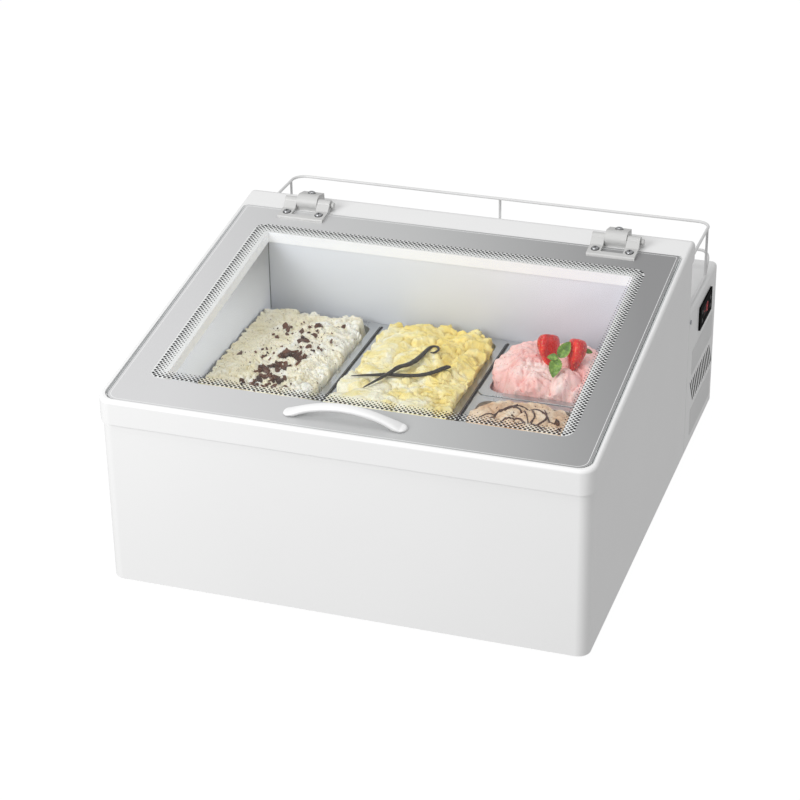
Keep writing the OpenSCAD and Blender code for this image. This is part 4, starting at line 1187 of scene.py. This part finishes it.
def ribbons():
    bm = bmesh.new()
    rnd = random.Random(9)
    lines = [
        [(122, 170), (132, 186), (146, 198), (156, 208), (168, 205), (176, 196), (182, 184)],
        [(150, 206), (166, 214), (182, 212), (196, 204), (208, 194), (216, 184)],
        [(176, 214), (184, 202), (188, 190), (180, 178), (168, 172)],
        [(196, 210), (202, 198), (198, 186), (188, 174)],
        [(134, 160), (150, 176), (164, 186), (178, 182), (190, 176), (206, 176)],
        [(160, 216), (150, 200), (140, 190), (136, 176)]]
    for ln in lines:
        pts = []
        for x, y in ln:
            p, n = on("scooped_right_front", x, y)
            pts.append(p + Vector((0, 0, 0.0004)))
        sp = spline(pts, 7)
        sp2 = []
        for q in sp:
            h, n = on("scooped_right_front", q.x * 1000, q.y * 1000 + YC)
            sp2.append(Vector((q.x, q.y, h.z + 0.0002)))
        rr = [0.00135 * (0.55 + 0.45 * math.sin(math.pi * i / (len(sp2) - 1))) * (1 + 0.35 * noise.noise(Vector((i * .4, ln[0][0], 0)))) for i in range(len(sp2))]
        tube(bm, sp2, rr, 8)
    obj_from_bm("chocolate_ribbons", bm, sauce, "right_front_pan", 70)
    bm = bmesh.new()
    for (x, y, s) in ((218, 186, 6.5), (222, 178, 4.5), (160, 190, 3), (186, 186, 2.6)):
        p, n = on("scooped_right_front", x, y)
        flake(bm, p, n, s, 2.4 if s > 4 else 1.0, rnd, 0.3)
    obj_from_bm("chocolate_chunks", bm, choc, "right_front_pan", 25)


ribbons()

# ---------------------------------------------------------------- camera
RX, RY, RZ = 2.04817605, -0.0125222232, -0.323190956
cx, sx, cy, sy, cz, sz = math.cos(RX), math.sin(RX), math.cos(RY), math.sin(RY), math.cos(RZ), math.sin(RZ)
R = Matrix(((1, 0, 0), (0, cx, -sx), (0, sx, cx))) @ Matrix(((cy, 0, sy), (0, 1, 0), (-sy, 0, cy))) @ Matrix(((cz, -sz, 0), (sz, cz, 0), (0, 0, 1)))
C = Vector((0.84851, -2.57770, 1.53664))
cam_data = bpy.data.cameras.new("camera")
cam = bpy.data.objects.new("camera", cam_data)
bpy.context.scene.collection.objects.link(cam)
rows = [Vector(R[i]) for i in range(3)]
mw = Matrix((rows[0], -rows[1], -rows[2])).transposed().to_4x4()
mw.translation = C
cam.matrix_world = mw
cam_data.sensor_fit = "HORIZONTAL"
cam_data.sensor_width = 36
F = 2296.32178
cam_data.lens = F / 800 * 36
cam_data.shift_x = -(405.788545 - 400) / 800
cam_data.shift_y = (398.388044 - 400) / 800
cam_data.clip_start = 0.05
cam_data.clip_end = 60
bpy.context.scene.camera = cam

# ---------------------------------------------------------------- floor and light
bm = bmesh.new()
for x, y in ((-9, -9), (9, -9), (9, 9), (-9, 9)):
    bm.verts.new((x, y, -0.0002))
bm.faces.new(bm.verts)
me = bpy.data.meshes.new("floor")
bm.to_mesh(me)
bm.free()
floor = bpy.data.objects.new("floor", me)
bpy.context.scene.collection.objects.link(floor)
paper, nt_, b_, tc_ = new_mat("floor_paper")
nt_.links.new(ramp(nt_, tex(nt_, tc_, 2, 3), [(0.3, (0.06, 0.06, 0.06, 1)), (0.7, (0.062, 0.062, 0.062, 1))]), b_.inputs["Base Color"])
b_.inputs["Roughness"].default_value = 0.9
b_.inputs["Specular IOR Level"].default_value = 0.0
b_.inputs["Emission Color"].default_value = (1, 1, 1, 1)
b_.inputs["Emission Strength"].default_value = 0.97
dull = nt_.nodes.new("ShaderNodeEmission")
dull.inputs["Color"].default_value = (1, 1, 1, 1)
dull.inputs["Strength"].default_value = 0.50
lp = nt_.nodes.new("ShaderNodeLightPath")
mx_ = nt_.nodes.new("ShaderNodeMixShader")
nt_.links.new(lp.outputs["Is Camera Ray"], mx_.inputs["Fac"])
nt_.links.new(dull.outputs["Emission"], mx_.inputs[1])
nt_.links.new(b_.outputs["BSDF"], mx_.inputs[2])
nt_.links.new(mx_.outputs["Shader"], nt_.nodes["Material Output"].inputs["Surface"])
me.materials.append(paper)

w = bpy.data.worlds.new("studio")
bpy.context.scene.world = w
w.use_nodes = True
bg = w.node_tree.nodes["Background"]
bg.inputs["Color"].default_value = (1, 1, 1, 1)
bg.inputs["Strength"].default_value = 0.54


def area(name, loc, target, size, power, size_y=None):
    d = bpy.data.lights.new(name, "AREA")
    d.energy = power
    d.size = size
    if size_y:
        d.shape = "RECTANGLE"
        d.size_y = size_y
    o = bpy.data.objects.new(name, d)
    o.location = loc
    o.rotation_euler = (Vector(target) - Vector(loc)).to_track_quat("-Z", "Y").to_euler()
    bpy.context.scene.collection.objects.link(o)
    return o


area("key", (-1.4, -2.3, 1.45), (0, 0, 0.1), 1.6, 52)
area("top", (0.15, -0.5, 2.4), (0, -0.05, 0.1), 1.2, 11)
fill = area("well_fill", (1.85, -0.15, 1.0), (-0.25, 0, 0.25), 0.9, 35)
lit = bpy.data.collections.new("well_walls")
lit.objects.link(well_walls)
fill.light_linking.receiver_collection = lit

bpy.context.scene.view_settings.view_transform = "Standard"
bpy.context.scene.view_settings.look = "None"
